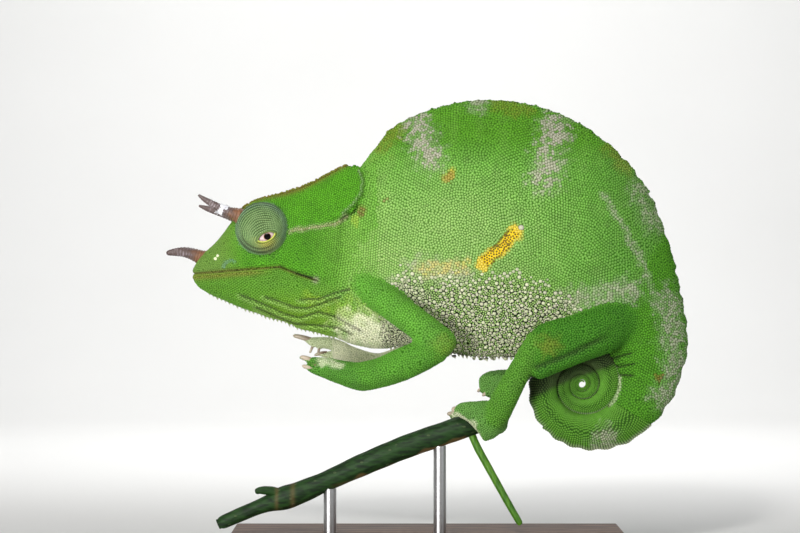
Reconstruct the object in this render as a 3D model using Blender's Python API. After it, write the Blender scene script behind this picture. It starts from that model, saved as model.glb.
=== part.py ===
"""Usambara three-horned chameleon, a still life-size model on a cut stem with a plain stand.

Tables and named sizes are in millimetres and the scene is in metres. +X runs from the nose
to the rump, -Y is the animal's left side and +Z is up. The origin is the centre of the
underside of the base.
"""
import math
import random

import bmesh
import bpy
import numpy as np
from mathutils import Matrix, Vector

MM = 0.001

# Clearances between neighbours
SEAM = 0.3
HALF_SEAM = SEAM / 2

# Shading and dome ends shared by every loft
SHARP_ANGLE = math.radians(50)
DOME_LEANS = (math.radians(35), math.radians(65))

# Head: each row is the top point and the low point of one section (x, z, x, z), its half
# width, and how peaked its crown is (1 is an ellipse, more is sharper)
HEAD_SECTIONS = (
    (-88.2, 105.9, -88.2, 102.4, 1.5, 0.9),
    (-87.4, 108.0, -87.2, 100.6, 3.4, 0.85),
    (-85.9, 110.4, -85.5, 98.7, 4.9, 0.8),
    (-82.9, 113.6, -81.8, 96.6, 6.3, 0.75),
    (-79.5, 116.6, -77.2, 94.6, 7.2, 0.75),
    (-75.0, 122.2, -71.6, 92.1, 8.2, 0.8),
    (-70.1, 128.8, -65.2, 89.8, 9.2, 0.85),
    (-64.5, 132.2, -58.9, 88.1, 10.0, 0.9),
    (-58.5, 133.7, -53.2, 86.2, 10.7, 1.0),
    (-51.8, 135.6, -48.0, 84.0, 11.5, 1.1),
    (-45.0, 138.0, -42.8, 82.5, 12.1, 1.25),
    (-38.0, 141.6, -39.0, 81.4, 12.0, 1.4),
    (-30.4, 145.5, -35.2, 80.2, 11.0, 1.5),
)
HEAD_RINGS = 26
HEAD_STEPS_ABOVE_MOUTH = 20
HEAD_STEPS_BELOW_MOUTH = 12
JAW_BELLY = 0.95
# First rows of the casque's beaded edge and of the throat's crest, and their ring counts
CASQUE_EDGE_ROW = 8
CASQUE_EDGE_RINGS = 12
THROAT_ROW = 3
THROAT_RINGS = 14

# Mouth: the line of the closed lips, from the snout back past the corner of the mouth
MOUTH_LINE = (
    (-89.0, 104.3),
    (-79.5, 105.0),
    (-69.4, 105.9),
    (-60.8, 106.5),
    (-55.0, 106.9),
    (-51.4, 105.4),
    (-46.9, 103.7),
    (-40.9, 101.8),
    (-31.1, 99.0),
    (-23.6, 96.8),
)
LIP_SWELL = 0.45
LIP_TUCK = 0.45
LIP_TUCK_LIMIT = 0.5
LIP_BAND = 1.3
MOUTH_SEARCH_STEPS = 201

# Temporal crest: a low wavy ridge from the rear of the eye to the edge of the casque
TEMPORAL_CREST = ((-52.5, 119.6), (-50.8, 120.2), (-41.6, 121.7), (-34.9, 122.8), (-30.1, 125.7))
TEMPORAL_CREST_HEIGHT = 0.8
TEMPORAL_CREST_SPREAD = 1.8

# Canthal ridges: the raised edges that bound the hollow forehead, as an angle from the top
CANTHUS_ANGLE = 0.62
CANTHUS_HEIGHT = 0.9
CANTHUS_SPREAD = 0.3
FOREHEAD_HOLLOW = 1.0

# Occipital lobes: flaps that leave the rear of the casque and lie against the neck.
# Each row is top x, z, y and low x, z, y of one section and its half thickness.
LOBE_SECTIONS = (
    (-46.0, 135.6, 3.4, -46.6, 121.6, 10.2, 1.2),
    (-41.0, 138.4, 3.2, -42.1, 122.1, 11.4, 1.6),
    (-35.0, 142.3, 2.6, -35.8, 124.0, 11.8, 1.6),
    (-29.0, 145.6, 2.2, -30.5, 125.4, 11.7, 1.4),
    (-25.3, 144.9, 2.6, -26.8, 128.4, 11.2, 1.1),
    (-23.3, 141.0, 4.2, -24.0, 133.6, 9.6, 0.7),
)
LOBE_RINGS = 10
LOBE_STEPS = 12

# Nostrils
NOSTRIL_PLACE = (-79.2, 6.4, 110.2)
NOSTRIL_RADII = (1.04, 1.28, 0.8)
NOSTRIL_STEPS = 8
NOSTRIL_RINGS = 6

# Trunk: top x, z, low x, z, half width, crown, belly. Low points of the rump lie on the coil.
TRUNK_SECTIONS = (
    (-30.8, 137.6, -35.1, 80.3, 10.0, 1.3, 1.0),
    (-24.0, 146.6, -27.5, 77.4, 10.9, 1.4, 1.0),
    (-19.5, 152.6, -17.5, 75.8, 12.0, 1.5, 1.05),
    (-13.3, 159.4, -9.4, 77.2, 13.0, 1.5, 1.1),
    (-2.6, 164.9, -1.5, 76.4, 13.9, 1.5, 1.15),
    (10.1, 168.6, 7.1, 74.6, 14.5, 1.5, 1.15),
    (23.2, 169.9, 17.6, 73.2, 14.6, 1.5, 1.15),
    (39.9, 167.8, 28.9, 73.0, 14.2, 1.5, 1.1),
    (55.6, 161.8, 38.6, 74.0, 13.4, 1.45, 1.05),
)
NECK_END = 2
RUMP_SECTIONS = (
    # top x, z, turn angle of the low point about the coil, half width, crown, belly
    (69.4, 152.2, 235.0, 12.2, 1.4, 1.0),
    (81.1, 138.4, 258.0, 10.8, 1.35, 1.0),
    (89.2, 121.1, 285.0, 9.5, 1.3, 1.0),
    (93.8, 103.0, 305.0, 8.4, 1.25, 1.0),
    (97.1, 87.0, 322.0, 7.5, 1.2, 1.0),
    (97.8, 75.0, 341.0, 6.9, 1.15, 1.0),
)
TORSO_END = 11
RINGS_A_SECTION = 3
# Rings of the trunk where the belly's crest starts and ends
BELLY_CREST_START = 14
BELLY_CREST_END = 24
TRUNK_STEPS = 22

# Tail: a flat coil whose rim halves its distance from the centre with every turn
COIL_CENTRE = (57.6, 63.0)
COIL_RIM = 19.1
COIL_RIM_ANGLE = 180.0
COIL_HALVING = 360.0
COIL_GAP = 0.4
RUMP_GAP = 0.8
TAIL_FLARE = 9.6
TAIL_FLARE_FADE = 45.0
TAIL_WIDTH_SHARE = 0.5
TAIL_ROOT_WIDTH = 6.4
TAIL_CROWN = 1.1
TAIL_BELLY = 0.9
TAIL_END_ANGLE = 1240.0
TAIL_TIP_ANGLE = 90.0
TAIL_TIP_SHARE = 0.4
SCALLOP_HEIGHT = 0.6
SCALLOP_END_ANGLE = 330.0
# Names of the tail's lengths, the angle where each ends, ring spacing and points a ring
TAIL_LENGTHS = (
    ("tail_root", 44.0, 8.0, 16),
    ("tail_bend", 132.0, 8.0, 16),
    ("tail_outer_coil", 252.0, 10.0, 14),
    ("tail_middle_coil", 452.0, 12.5, 12),
    ("tail_inner_coil", 700.0, 15.5, 10),
    ("tail_tip", TAIL_END_ANGLE, 20.0, 8),
)

# Crests of small cones: spacing, height and root radius
BACK_CONE = (4.4, 0.42, 0.7)
BELLY_CONE = (2.4, 1.25, 0.6)
GULAR_CONE = (3.0, 0.85, 0.55)
CASQUE_BEAD = (2.4, 0.5, 0.75)
CONE_ROOT = 1.0
CONE_SIDES = 4
CONE_SLACK = 0.12

# Eye turrets: centre on the left side, radius, height, and the lean of the tip
TURRET_CENTRE = (-61.9, 7.4, 121.3)
TURRET_RADIUS = 10.0
TURRET_HEIGHT = 8.9
TURRET_LEAN = (2.3, -3.2)
TURRET_BASE_DEPTH = 2.4
TURRET_STEPS = 20
TURRET_RINGS = 8
LID_CENTRE = (-59.7, 118.05)
LID_HALF_LENGTH = 4.0
LID_HALF_OPENING = 1.35
LID_TILT = math.radians(23.7)
LID_ROLL = 0.55
LID_LIFT = 0.1
LID_BEND = 0.5
LID_CORNER_GROWTH = 0.4
LID_STEPS = 16
LID_ROLL_STEPS = 6
TURRET_CLOSING = 0.96
EYE_DEPTH = 2.4
EYE_SINK = 1.15
EYE_GAP = 0.2
EYE_STEPS = 12
EYE_RINGS = 8
SOCKET_GROWTH = (0.4, 1.5, 0.5)
SOCKET_LIFT = 1.0
SOCKET_STEPS = 14
SOCKET_RINGS = 8

# Horns: centre points x, y, z and radius from root to tip, on the left or the midline
ROSTRAL_HORN = (
    (-82.4, 0.0, 110.0, 3.0),
    (-85.6, 0.0, 110.8, 2.75),
    (-88.6, 0.0, 111.8, 2.3),
    (-91.9, 0.0, 112.5, 1.9),
    (-95.2, 0.0, 112.5, 1.45),
    (-97.3, 0.0, 112.2, 1.0),
    (-98.1, 0.0, 112.1, 0.4),
)
BROW_HORN = (
    (-67.0, 5.6, 124.4, 3.6),
    (-70.4, 6.2, 126.0, 3.1),
    (-73.6, 6.7, 127.0, 2.3),
    (-76.6, 7.2, 128.3, 1.7),
    (-79.6, 7.6, 130.0, 1.4),
    (-82.8, 7.9, 131.9, 1.05),
    (-85.4, 8.1, 133.7, 0.4),
)
# How much lower and further out the right brow horn grows, tip against root
RIGHT_BROW_DROP = 3.6
RIGHT_BROW_REACH = -1.2
HORN_STEPS = 10
HORN_RINGS = 13
HORN_RIB = 0.1

# Limbs: x, y, z and radius along each centre line. The left limbs are at -Y.
UPPER_ARM_LEFT = (
    (-27.6, -4.0, 105.6, 4.4),
    (-22.4, -8.6, 99.8, 5.2),
    (-15.0, -12.6, 93.9, 5.8),
    (-6.2, -15.6, 87.6, 5.8),
    (1.4, -17.4, 81.9, 5.7),
    (5.4, -18.0, 79.0, 5.6),
)
FOREARM_LEFT = (
    (4.6, -18.0, 77.6, 5.2),
    (-3.0, -18.0, 74.2, 6.0),
    (-10.3, -17.5, 70.9, 6.2),
    (-17.8, -16.6, 68.0, 5.7),
    (-25.3, -15.6, 66.4, 5.6),
)
UPPER_ARM_RIGHT = (
    (-27.6, 4.0, 105.6, 4.4),
    (-21.4, 8.6, 99.0, 5.0),
    (-13.0, 13.4, 91.0, 5.4),
    (-5.2, 15.8, 84.0, 5.3),
    (0.6, 16.6, 79.4, 5.2),
)
FOREARM_RIGHT = (
    (0.2, 16.6, 77.8, 4.8),
    (-6.2, 16.2, 73.6, 5.2),
    (-13.0, 15.6, 70.6, 5.0),
    (-19.6, 14.6, 69.6, 4.5),
    (-25.0, 13.6, 71.4, 4.1),
)
LIMB_STEPS = 12
THIGH_STEPS = 16
LIMB_RINGS = 9
SHOULDER_DOME = 5.0

# Thighs: top x, z, low x, z, centre y, half width
THIGH_LEFT = (
    (86.0, 93.4, 80.6, 82.8, -2.6, 2.8),
    (77.6, 95.4, 72.0, 77.6, -5.0, 4.4),
    (69.4, 94.2, 66.6, 74.4, -8.2, 5.2),
    (61.0, 91.8, 60.4, 72.6, -11.0, 5.6),
    (53.4, 89.6, 53.0, 69.8, -12.8, 5.5),
    (46.4, 88.0, 45.6, 66.8, -14.2, 5.1),
    (41.0, 86.4, 41.0, 64.6, -15.2, 4.5),
    (37.8, 83.6, 38.6, 66.4, -15.6, 3.2),
)
SHIN_LEFT = (
    (40.4, -15.4, 81.4, 3.9),
    (37.4, -15.6, 76.0, 4.1),
    (33.4, -15.2, 68.5, 4.4),
    (29.3, -14.2, 60.8, 4.9),
    (25.9, -12.4, 53.8, 5.1),
    (24.2, -10.6, 49.6, 4.6),
)
THIGH_RIGHT = (
    (86.0, 92.6, 80.8, 82.8, 2.6, 2.8),
    (77.0, 94.6, 71.6, 77.6, 4.8, 4.4),
    (69.0, 93.4, 67.0, 74.8, 8.0, 5.1),
    (61.0, 90.6, 60.6, 73.2, 10.6, 5.4),
    (53.4, 87.6, 53.0, 71.2, 12.0, 5.2),
    (47.0, 85.0, 46.6, 69.6, 12.8, 4.7),
    (43.0, 82.4, 43.0, 68.4, 13.2, 3.8),
)
SHIN_RIGHT = (
    (45.4, 13.2, 78.6, 4.0),
    (41.0, 13.2, 73.6, 4.2),
    (36.6, 12.8, 67.8, 4.2),
    (33.0, 12.2, 63.4, 4.0),
)

# Toe bundles of hands and feet: top x, z, low x, z, centre y, half width
HAND_LEFT_PALM = (
    (-24.6, 71.9, -25.4, 60.9, -15.4, 5.1),
    (-28.6, 72.3, -29.0, 62.0, -15.8, 4.8),
    (-32.4, 72.9, -32.6, 63.4, -16.2, 4.2),
    (-36.4, 73.3, -37.2, 65.2, -16.5, 3.5),
    (-39.0, 73.4, -39.6, 66.6, -16.6, 2.6),
)
HAND_LEFT_UPPER_TOE = (
    (-33.0, 73.0, -33.0, 68.6, -16.4, 2.6),
    (-37.8, 73.8, -38.0, 70.0, -16.6, 2.3),
    (-41.6, 74.0, -41.8, 70.8, -16.6, 1.9),
    (-44.4, 73.7, -44.6, 71.6, -16.6, 1.2),
)
HAND_LEFT_LOWER_TOE = (
    (-33.0, 69.8, -33.4, 64.2, -16.2, 2.7),
    (-37.8, 69.6, -38.2, 65.8, -16.3, 2.3),
    (-41.6, 69.8, -41.8, 67.2, -16.2, 1.8),
    (-44.2, 70.2, -44.2, 68.4, -16.1, 1.1),
)
HAND_LEFT_INNER = (
    (-25.6, 71.0, -26.0, 64.0, -11.6, 2.6),
    (-30.6, 72.0, -31.0, 66.8, -9.6, 2.6),
    (-36.0, 72.8, -36.6, 68.6, -9.2, 2.3),
    (-40.8, 72.2, -41.2, 69.6, -9.6, 1.5),
)
HAND_RIGHT_PALM = (
    (-24.0, 75.2, -24.6, 66.6, 13.6, 4.0),
    (-28.2, 76.8, -28.6, 68.6, 13.0, 4.0),
    (-32.4, 78.6, -32.6, 71.0, 12.4, 3.6),
    (-35.8, 79.9, -36.2, 73.0, 12.0, 3.0),
)
HAND_RIGHT_INNER = (
    (-30.4, 78.2, -30.8, 73.2, 11.2, 2.4),
    (-36.0, 80.2, -36.4, 75.2, 10.2, 2.3),
    (-41.0, 80.6, -41.6, 76.2, 9.8, 2.0),
    (-45.6, 80.2, -45.8, 77.4, 10.0, 1.2),
)
HAND_RIGHT_OUTER = (
    (-28.6, 74.6, -29.0, 70.0, 14.8, 2.3),
    (-34.2, 74.9, -34.6, 71.3, 15.2, 2.1),
    (-38.4, 74.8, -38.6, 72.0, 15.0, 1.7),
    (-41.4, 74.6, -41.4, 72.9, 14.6, 1.0),
)
FOOT_LEFT_HEEL = (
    (29.2, 55.6, 28.4, 46.4, -9.4, 3.6),
    (26.2, 57.0, 25.0, 43.4, -9.4, 4.7),
    (22.4, 57.9, 21.4, 41.2, -9.2, 5.0),
    (19.6, 57.5, 19.6, 43.6, -9.2, 4.6),
    (16.8, 57.3, 16.8, 47.4, -9.4, 4.0),
    (13.6, 57.2, 13.6, 50.2, -9.2, 3.4),
    (11.2, 56.4, 11.2, 51.2, -8.8, 2.6),
    (9.8, 55.2, 9.8, 52.2, -8.6, 1.6),
)
FOOT_LEFT_PALM = (
    (27.0, 54.0, 26.6, 44.8, -8.6, 3.2),
    (26.6, 53.8, 26.0, 44.6, -5.0, 3.4),
    (25.8, 53.4, 25.4, 44.6, -1.0, 3.4),
    (24.6, 53.2, 24.4, 44.8, 2.6, 3.0),
    (22.6, 53.6, 22.4, 44.6, 5.0, 2.6),
)
FOOT_LEFT_INNER = (
    (26.4, 53.4, 26.0, 45.0, 3.6, 2.8),
    (21.6, 54.4, 21.2, 44.2, 4.8, 2.9),
    (16.4, 54.6, 16.2, 45.8, 4.8, 2.7),
    (11.8, 54.2, 11.6, 48.0, 4.4, 2.2),
    (8.6, 52.8, 8.4, 49.4, 4.0, 1.3),
)
FOOT_RIGHT_FIST = (
    (36.0, 66.6, 35.4, 57.6, 12.4, 3.6),
    (31.8, 68.2, 32.0, 56.4, 12.0, 4.2),
    (26.4, 68.0, 26.6, 56.2, 11.4, 4.4),
    (22.2, 67.2, 22.6, 57.2, 10.8, 3.8),
    (19.4, 64.9, 20.0, 59.4, 10.4, 2.4),
)
FOOT_RIGHT_THUMB = (
    (31.6, 61.0, 31.6, 55.8, 8.6, 2.0),
    (27.4, 61.2, 27.6, 56.6, 7.2, 2.1),
    (23.6, 61.0, 24.0, 57.4, 7.2, 1.8),
    (21.4, 60.4, 21.8, 58.2, 7.6, 1.1),
)
TOE_STEPS = 9
TOE_RINGS = 7

# Claws: root x, y, z, tip x, y, z and root radius. A claw ends in a blunt dome.
CLAWS = {
    "hand_left": (
        ((-42.2, -16.6, 71.9), (-47.3, -16.6, 73.9), 1.25),
        ((-41.6, -16.2, 68.6), (-46.6, -16.0, 70.6), 1.1),
        ((-39.6, -9.6, 71.0), (-43.4, -9.2, 71.6), 0.95),
    ),
    "hand_right": (
        ((-43.6, 10.0, 78.7), (-51.2, 10.6, 80.9), 1.2),
        ((-43.6, 9.8, 76.9), (-44.7, 9.6, 74.2), 0.6),
        ((-41.0, 10.0, 76.6), (-41.9, 9.8, 73.4), 0.6),
        ((-39.6, 14.6, 73.8), (-43.2, 14.2, 73.2), 0.9),
    ),
    "foot_left": (
        ((11.0, -8.6, 53.6), (8.6, -8.6, 53.7), 1.6),
        ((10.0, 4.0, 51.2), (7.2, 3.8, 51.5), 1.1),
    ),
    "foot_right": (
        ((23.4, 7.4, 59.4), (20.6, 7.2, 58.2), 1.0),
        ((21.4, 10.4, 60.8), (18.8, 10.0, 59.6), 0.9),
    ),
}
CLAW_STEPS = 5
CLAW_RINGS = 2
CLAW_TAPER = 0.72

# Perch: the cut stem that the left hind foot grips, with the stub of a side twig
STEM_LINE = (
    (21.2, -1.6, 50.0, 4.5),
    (8.9, -1.6, 45.6, 4.5),
    (-8.3, -1.6, 39.6, 4.5),
    (-25.4, -1.6, 32.5, 4.3),
    (-38.2, -1.6, 26.7, 3.9),
    (-48.2, -1.6, 22.4, 4.4),
    (-54.6, -1.6, 20.2, 4.5),
    (-61.0, -1.6, 18.0, 3.1),
    (-68.0, -1.6, 15.2, 2.8),
    (-78.6, -1.6, 10.6, 2.7),
)
STEM_STEPS = 12
STEM_RINGS = 22
STUB_LINE = (
    (-53.0, -1.6, 21.0, 2.2),
    (-58.0, -3.0, 23.0, 1.9),
    (-62.0, -4.2, 23.6, 1.5),
    (-64.4, -5.0, 23.2, 1.0),
)
STUB_STEPS = 8
STUB_RINGS = 6
TWIG_LINE = (
    (15.4, -1.6, 46.6, 1.5),
    (18.4, -1.7, 39.6, 1.5),
    (23.1, -1.9, 31.0, 1.45),
    (29.9, -2.1, 18.7, 1.35),
    (34.6, -2.2, 10.6, 1.25),
)
TWIG_STEPS = 8
TWIG_RINGS = 9

# Stand: a flat base and two short rods up to the stem
BASE_LENGTH = 150.0
BASE_WIDTH = 84.0
BASE_THICK = 6.0
BASE_CORNER = 9.0
BASE_CORNER_STEPS = 6
BASE_EDGE = 1.0
BASE_EDGE_STEPS = 2
ROD_RADIUS = 2.4
ROD_SIDES = 20
ROD_Y = -1.6
RODS = (("stand_rod_rear", 4.4, 44.1), ("stand_rod_front", -36.7, 27.4))

# Colours, roughness and metallic value of each material
FINISHES = {
    "green_scales": ((0.09, 0.42, 0.03, 1.0), 0.5, 0.0),
    "turret_scales": ((0.2, 0.36, 0.16, 1.0), 0.5, 0.0),
    "eye_gloss": ((0.02, 0.015, 0.01, 1.0), 0.08, 0.0),
    "horn_keratin": ((0.3, 0.2, 0.16, 1.0), 0.4, 0.0),
    "stem_bark": ((0.03, 0.09, 0.02, 1.0), 0.6, 0.0),
    "green_twig": ((0.07, 0.3, 0.02, 1.0), 0.45, 0.0),
    "base_wood": ((0.09, 0.045, 0.025, 1.0), 0.4, 0.0),
    "rod_steel": ((0.55, 0.55, 0.56, 1.0), 0.3, 1.0),
}
RANDOM_SEED = 41


def clear_scene():
    """Remove every object that the file holds at the start."""
    for obj in list(bpy.data.objects):
        bpy.data.objects.remove(obj, do_unlink=True)


def new_collection(name):
    """Return a new collection linked to the scene."""
    collection = bpy.data.collections.new(name)
    bpy.context.scene.collection.children.link(collection)
    return collection


def make_material(name):
    """Return a Principled material from the table of finishes."""
    colour, roughness, metallic = FINISHES[name]
    material = bpy.data.materials.new(name)
    material.use_nodes = True
    shader = material.node_tree.nodes["Principled BSDF"]
    shader.inputs["Base Color"].default_value = colour
    shader.inputs["Roughness"].default_value = roughness
    shader.inputs["Metallic"].default_value = metallic
    return material


def smooth_rows(rows, count):
    """Read a table as a Catmull-Rom curve at evenly spaced parameters."""
    table = np.array(rows, dtype=float)
    last = len(table) - 1
    padded = np.vstack([2 * table[0] - table[1], table, 2 * table[-1] - table[-2]])
    result = []
    for place in np.linspace(0.0, last, count):
        index = min(int(place), last - 1)
        t = place - index
        a, b, c, d = padded[index:index + 4]
        result.append(0.5 * (2 * b + (c - a) * t + (2 * a - 5 * b + 4 * c - d) * t**2
                             + (3 * b - a - 3 * c + d) * t**3))
    return np.array(result)


def mesh_object(name, rings, collection, material=None):
    """Make a closed loft through rings of equal length, with a fan on each end."""
    mesh = bmesh.new()
    rows = [[mesh.verts.new(Vector(point) * MM) for point in ring] for ring in rings]
    count = len(rows[0])
    for row, following in zip(rows, rows[1:]):
        for i in range(count):
            j = (i + 1) % count
            mesh.faces.new((row[i], row[j], following[j], following[i]))
    for row in (rows[0], rows[-1]):
        middle = sum((vert.co for vert in row), Vector()) / count
        hub = mesh.verts.new(middle)
        for i in range(count):
            mesh.faces.new((hub, row[i], row[(i + 1) % count]))
    bmesh.ops.recalc_face_normals(mesh, faces=mesh.faces)
    bmesh.ops.triangulate(mesh, faces=mesh.faces)
    data = bpy.data.meshes.new(name)
    mesh.to_mesh(data)
    mesh.free()
    data.shade_smooth()
    data.set_sharp_from_angle(angle=SHARP_ANGLE)
    obj = bpy.data.objects.new(name, data)
    collection.objects.link(obj)
    if material:
        data.materials.append(material)
    return obj


def shift_end(ring, towards, distance):
    """Move a ring along its plane's normal, to the side of the ring given second."""
    ring = np.array(ring)
    centre = ring.mean(axis=0)
    _, _, axes = np.linalg.svd(ring - centre)
    normal = axes[2]
    if np.dot(normal, np.array(towards).mean(axis=0) - centre) < 0:
        normal = -normal
    return ring + normal * distance


def section(top, low, half_width, crown, belly, steps):
    """Return one upright section between two points of the midplane."""
    middle = (top + low) / 2
    rise = (top - low) / 2
    ring = []
    for k in range(steps):
        angle = 2 * math.pi * k / steps
        peak = crown if math.cos(angle) > 0 else belly
        side = math.copysign(abs(math.sin(angle)) ** peak, math.sin(angle))
        ring.append(middle + rise * math.cos(angle) + np.array((0.0, side * half_width, 0.0)))
    return ring


def flank_loft(name, rows, rings, steps, collection, material=None):
    """Loft toes and thighs from rows of top x, z, low x, z, centre y and half width."""
    table = smooth_rows(rows, rings)
    mids = np.array([((r[0] + r[2]) / 2, r[4], (r[1] + r[3]) / 2) for r in table])
    headings = np.gradient(mids, axis=0)
    loft = []
    for row, middle, heading in zip(table, mids, headings):
        rise = np.array((row[0] - row[2], 0.0, row[1] - row[3])) / 2
        side = np.cross(heading, rise)
        side = side / np.linalg.norm(side) * row[5]
        loft.append([middle + rise * math.cos(a) + side * math.sin(a) for a in turn(steps)])
    return mesh_object(name, loft, collection, material)


def turn(steps):
    """Return the angles of one full turn."""
    return [2 * math.pi * k / steps for k in range(steps)]


def tube(name, rows, rings, steps, collection, material=None, ends=0.0, rib=0.0):
    """Loft a round limb, horn or stem along x, y, z and radius rows.

    With ends above 0 the last ring is drawn in to a dome that long. A rib swells every
    second ring.
    """
    table = smooth_rows(rows, rings)
    path = table[:, :3]
    headings = np.gradient(path, axis=0)
    headings /= np.linalg.norm(headings, axis=1)[:, None]
    loft = []
    for index, (row, heading) in enumerate(zip(table, headings)):
        across = np.cross(heading, (0.0, 1.0, 0.0))
        across /= np.linalg.norm(across)
        beside = np.cross(heading, across)
        radius = row[3] + rib * (index % 2)
        loft.append([path[index] + radius * (across * math.cos(a) + beside * math.sin(a))
                     for a in turn(steps)])
    if ends:
        centre = path[-1]
        last = np.array(loft[-1])
        for lean in DOME_LEANS:
            loft.append(centre + (last - centre) * math.cos(lean)
                        + headings[-1] * ends * math.sin(lean))
    return mesh_object(name, loft, collection, material)


def cone(name, root, tip, radius, sides, collection):
    """Make a closed cone from its root's centre to its tip."""
    bpy.ops.mesh.primitive_cone_add(vertices=sides, radius1=radius * MM, radius2=0.0,
                                    depth=(Vector(tip) - Vector(root)).length * MM)
    obj = bpy.context.active_object
    obj.name = name
    direction = Vector(tip) - Vector(root)
    turned = direction.to_track_quat("Z", "Y").to_matrix().to_4x4()
    place = Matrix.Translation((Vector(root) + Vector(tip)) / 2 * MM)
    obj.data.transform(place @ turned)
    for other in list(obj.users_collection):
        other.objects.unlink(obj)
    collection.objects.link(obj)
    return obj


def apply_modifiers(obj):
    """Replace an object's mesh by its evaluated one."""
    graph = bpy.context.evaluated_depsgraph_get()
    graph.update()
    baked = bpy.data.meshes.new_from_object(obj.evaluated_get(graph))
    obj.modifiers.clear()
    obj.data = baked


def keep_largest(obj):
    """Delete every closed surface of a mesh but the one with the most faces."""
    mesh = bmesh.new()
    mesh.from_mesh(obj.data)
    left = set(mesh.verts)
    islands = []
    while left:
        island = {left.pop()}
        edge = list(island)
        while edge:
            vert = edge.pop()
            for link in vert.link_edges:
                other = link.other_vert(vert)
                if other in left:
                    left.remove(other)
                    island.add(other)
                    edge.append(other)
        islands.append(island)
    largest = max(islands, key=len)
    spare = [vert for island in islands if island is not largest for vert in island]
    bmesh.ops.delete(mesh, geom=spare, context="VERTS")
    mesh.to_mesh(obj.data)
    mesh.free()


def fuse(obj, pieces, solver="EXACT"):
    """Join closed pieces to an object by one union, then remove them."""
    holder = new_collection(obj.name + "_pieces")
    for piece in pieces:
        for other in list(piece.users_collection):
            other.objects.unlink(piece)
        holder.objects.link(piece)
    joint = obj.modifiers.new("join", "BOOLEAN")
    joint.operation = "UNION"
    joint.operand_type = "COLLECTION"
    joint.collection = holder
    joint.solver = solver
    apply_modifiers(obj)
    for piece in list(holder.objects):
        bpy.data.objects.remove(piece, do_unlink=True)
    bpy.data.collections.remove(holder)
    keep_largest(obj)


def cut(obj, cutter, solver="EXACT"):
    """Take a cutter's volume out of an object."""
    trim = obj.modifiers.new("trim", "BOOLEAN")
    trim.operation = "DIFFERENCE"
    trim.object = cutter
    trim.solver = solver
    apply_modifiers(obj)
    keep_largest(obj)


def clear_of(obj, *neighbours):
    """Trim an object back to a seam's width from each neighbour."""
    for neighbour in neighbours:
        grown = neighbour.copy()
        grown.data = neighbour.data.copy()
        CUTTERS.objects.link(grown)
        mesh = bmesh.new()
        mesh.from_mesh(grown.data)
        mesh.normal_update()
        moves = [(vert, vert.normal * vert.calc_shell_factor() * SEAM * MM)
                 for vert in mesh.verts]
        for vert, move in moves:
            vert.co += move if move.length < 2 * SEAM * MM else move.normalized() * SEAM * MM
        mesh.to_mesh(grown.data)
        mesh.free()
        cut(obj, grown, "MANIFOLD")
        bpy.data.objects.remove(grown, do_unlink=True)


def coil_radius(angle):
    """Return the distance of the tail's outer edge from the coil's centre."""
    return COIL_RIM * 2 ** (-(angle - COIL_RIM_ANGLE) / COIL_HALVING)


def coil_point(angle, radius):
    """Return a point of the midplane at an angle, clockwise from +X, about the coil."""
    x = COIL_CENTRE[0] + radius * math.cos(math.radians(angle))
    z = COIL_CENTRE[1] - radius * math.sin(math.radians(angle))
    return np.array((x, 0.0, z))


def trunk_sections():
    """Return the trunk's table with the rump's low points laid on the coil."""
    rows = list(TRUNK_SECTIONS)
    for top_x, top_z, angle, half_width, crown, belly in RUMP_SECTIONS:
        low = coil_point(angle, coil_radius(angle) + RUMP_GAP)
        rows.append((top_x, top_z, low[0], low[2], half_width, crown, belly))
    return rows


def tail_section(angle, steps, scallop):
    """Return one section of the tail, square to the coil's plane."""
    own = coil_radius(angle)
    flare = TAIL_FLARE * math.exp(-angle / TAIL_FLARE_FADE)
    outer = own + flare + scallop
    inner = coil_radius(angle + COIL_HALVING) + COIL_GAP
    half_width = TAIL_WIDTH_SHARE * (own - inner)
    root_blend = max(0.0, 1.0 - angle / COIL_RIM_ANGLE) ** 2
    start_width = TAIL_WIDTH_SHARE * (coil_radius(0.0) - coil_radius(COIL_HALVING) - COIL_GAP)
    half_width += root_blend * (TAIL_ROOT_WIDTH - start_width)
    to_tip = (TAIL_END_ANGLE - angle) / TAIL_TIP_ANGLE
    if to_tip < 1.0:
        shrink = TAIL_TIP_SHARE + (1 - TAIL_TIP_SHARE) * to_tip
        middle = (outer + inner) / 2
        outer = middle + (outer - middle) * shrink
        inner = middle + (inner - middle) * shrink
        half_width *= shrink
    return section(coil_point(angle, outer), coil_point(angle, inner), half_width,
                   TAIL_CROWN, TAIL_BELLY, steps)


def cone_row(points, ups, sizes, name):
    """Grow a row of small cones at even steps along a line of the midplane."""
    spacing, height, radius = sizes
    points = np.array(points)
    lengths = np.linalg.norm(np.diff(points, axis=0), axis=1)
    along = np.concatenate([[0.0], np.cumsum(lengths)])
    cones = []
    for index, place in enumerate(np.arange(spacing / 2, along[-1], spacing)):
        root = np.array([np.interp(place, along, points[:, k]) for k in range(3)])
        up = np.array([np.interp(place, along, ups[:, k]) for k in range(3)])
        up /= np.linalg.norm(up)
        size = 1 + CONE_SLACK * RANDOM.uniform(-1, 1)
        cones.append(cone("%s_%d" % (name, index), root - up * CONE_ROOT, root + up * height * size,
                          radius * (CONE_ROOT + height) / height, CONE_SIDES, CUTTERS))
    return cones


def mouth_height(x):
    """Return the height of the mouth line at a place along the head."""
    line = np.array(MOUTH_LINE)
    return np.interp(x, line[:, 0], line[:, 1])


def mouth_angle(top, low):
    """Return the angle from the top of a head section at which the mouth line lies."""
    for share in np.linspace(0.0, 1.0, MOUTH_SEARCH_STEPS):
        point = low + (top - low) * share
        if point[2] >= mouth_height(point[0]):
            return math.acos(2 * share - 1)
    return math.pi / 2


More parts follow.
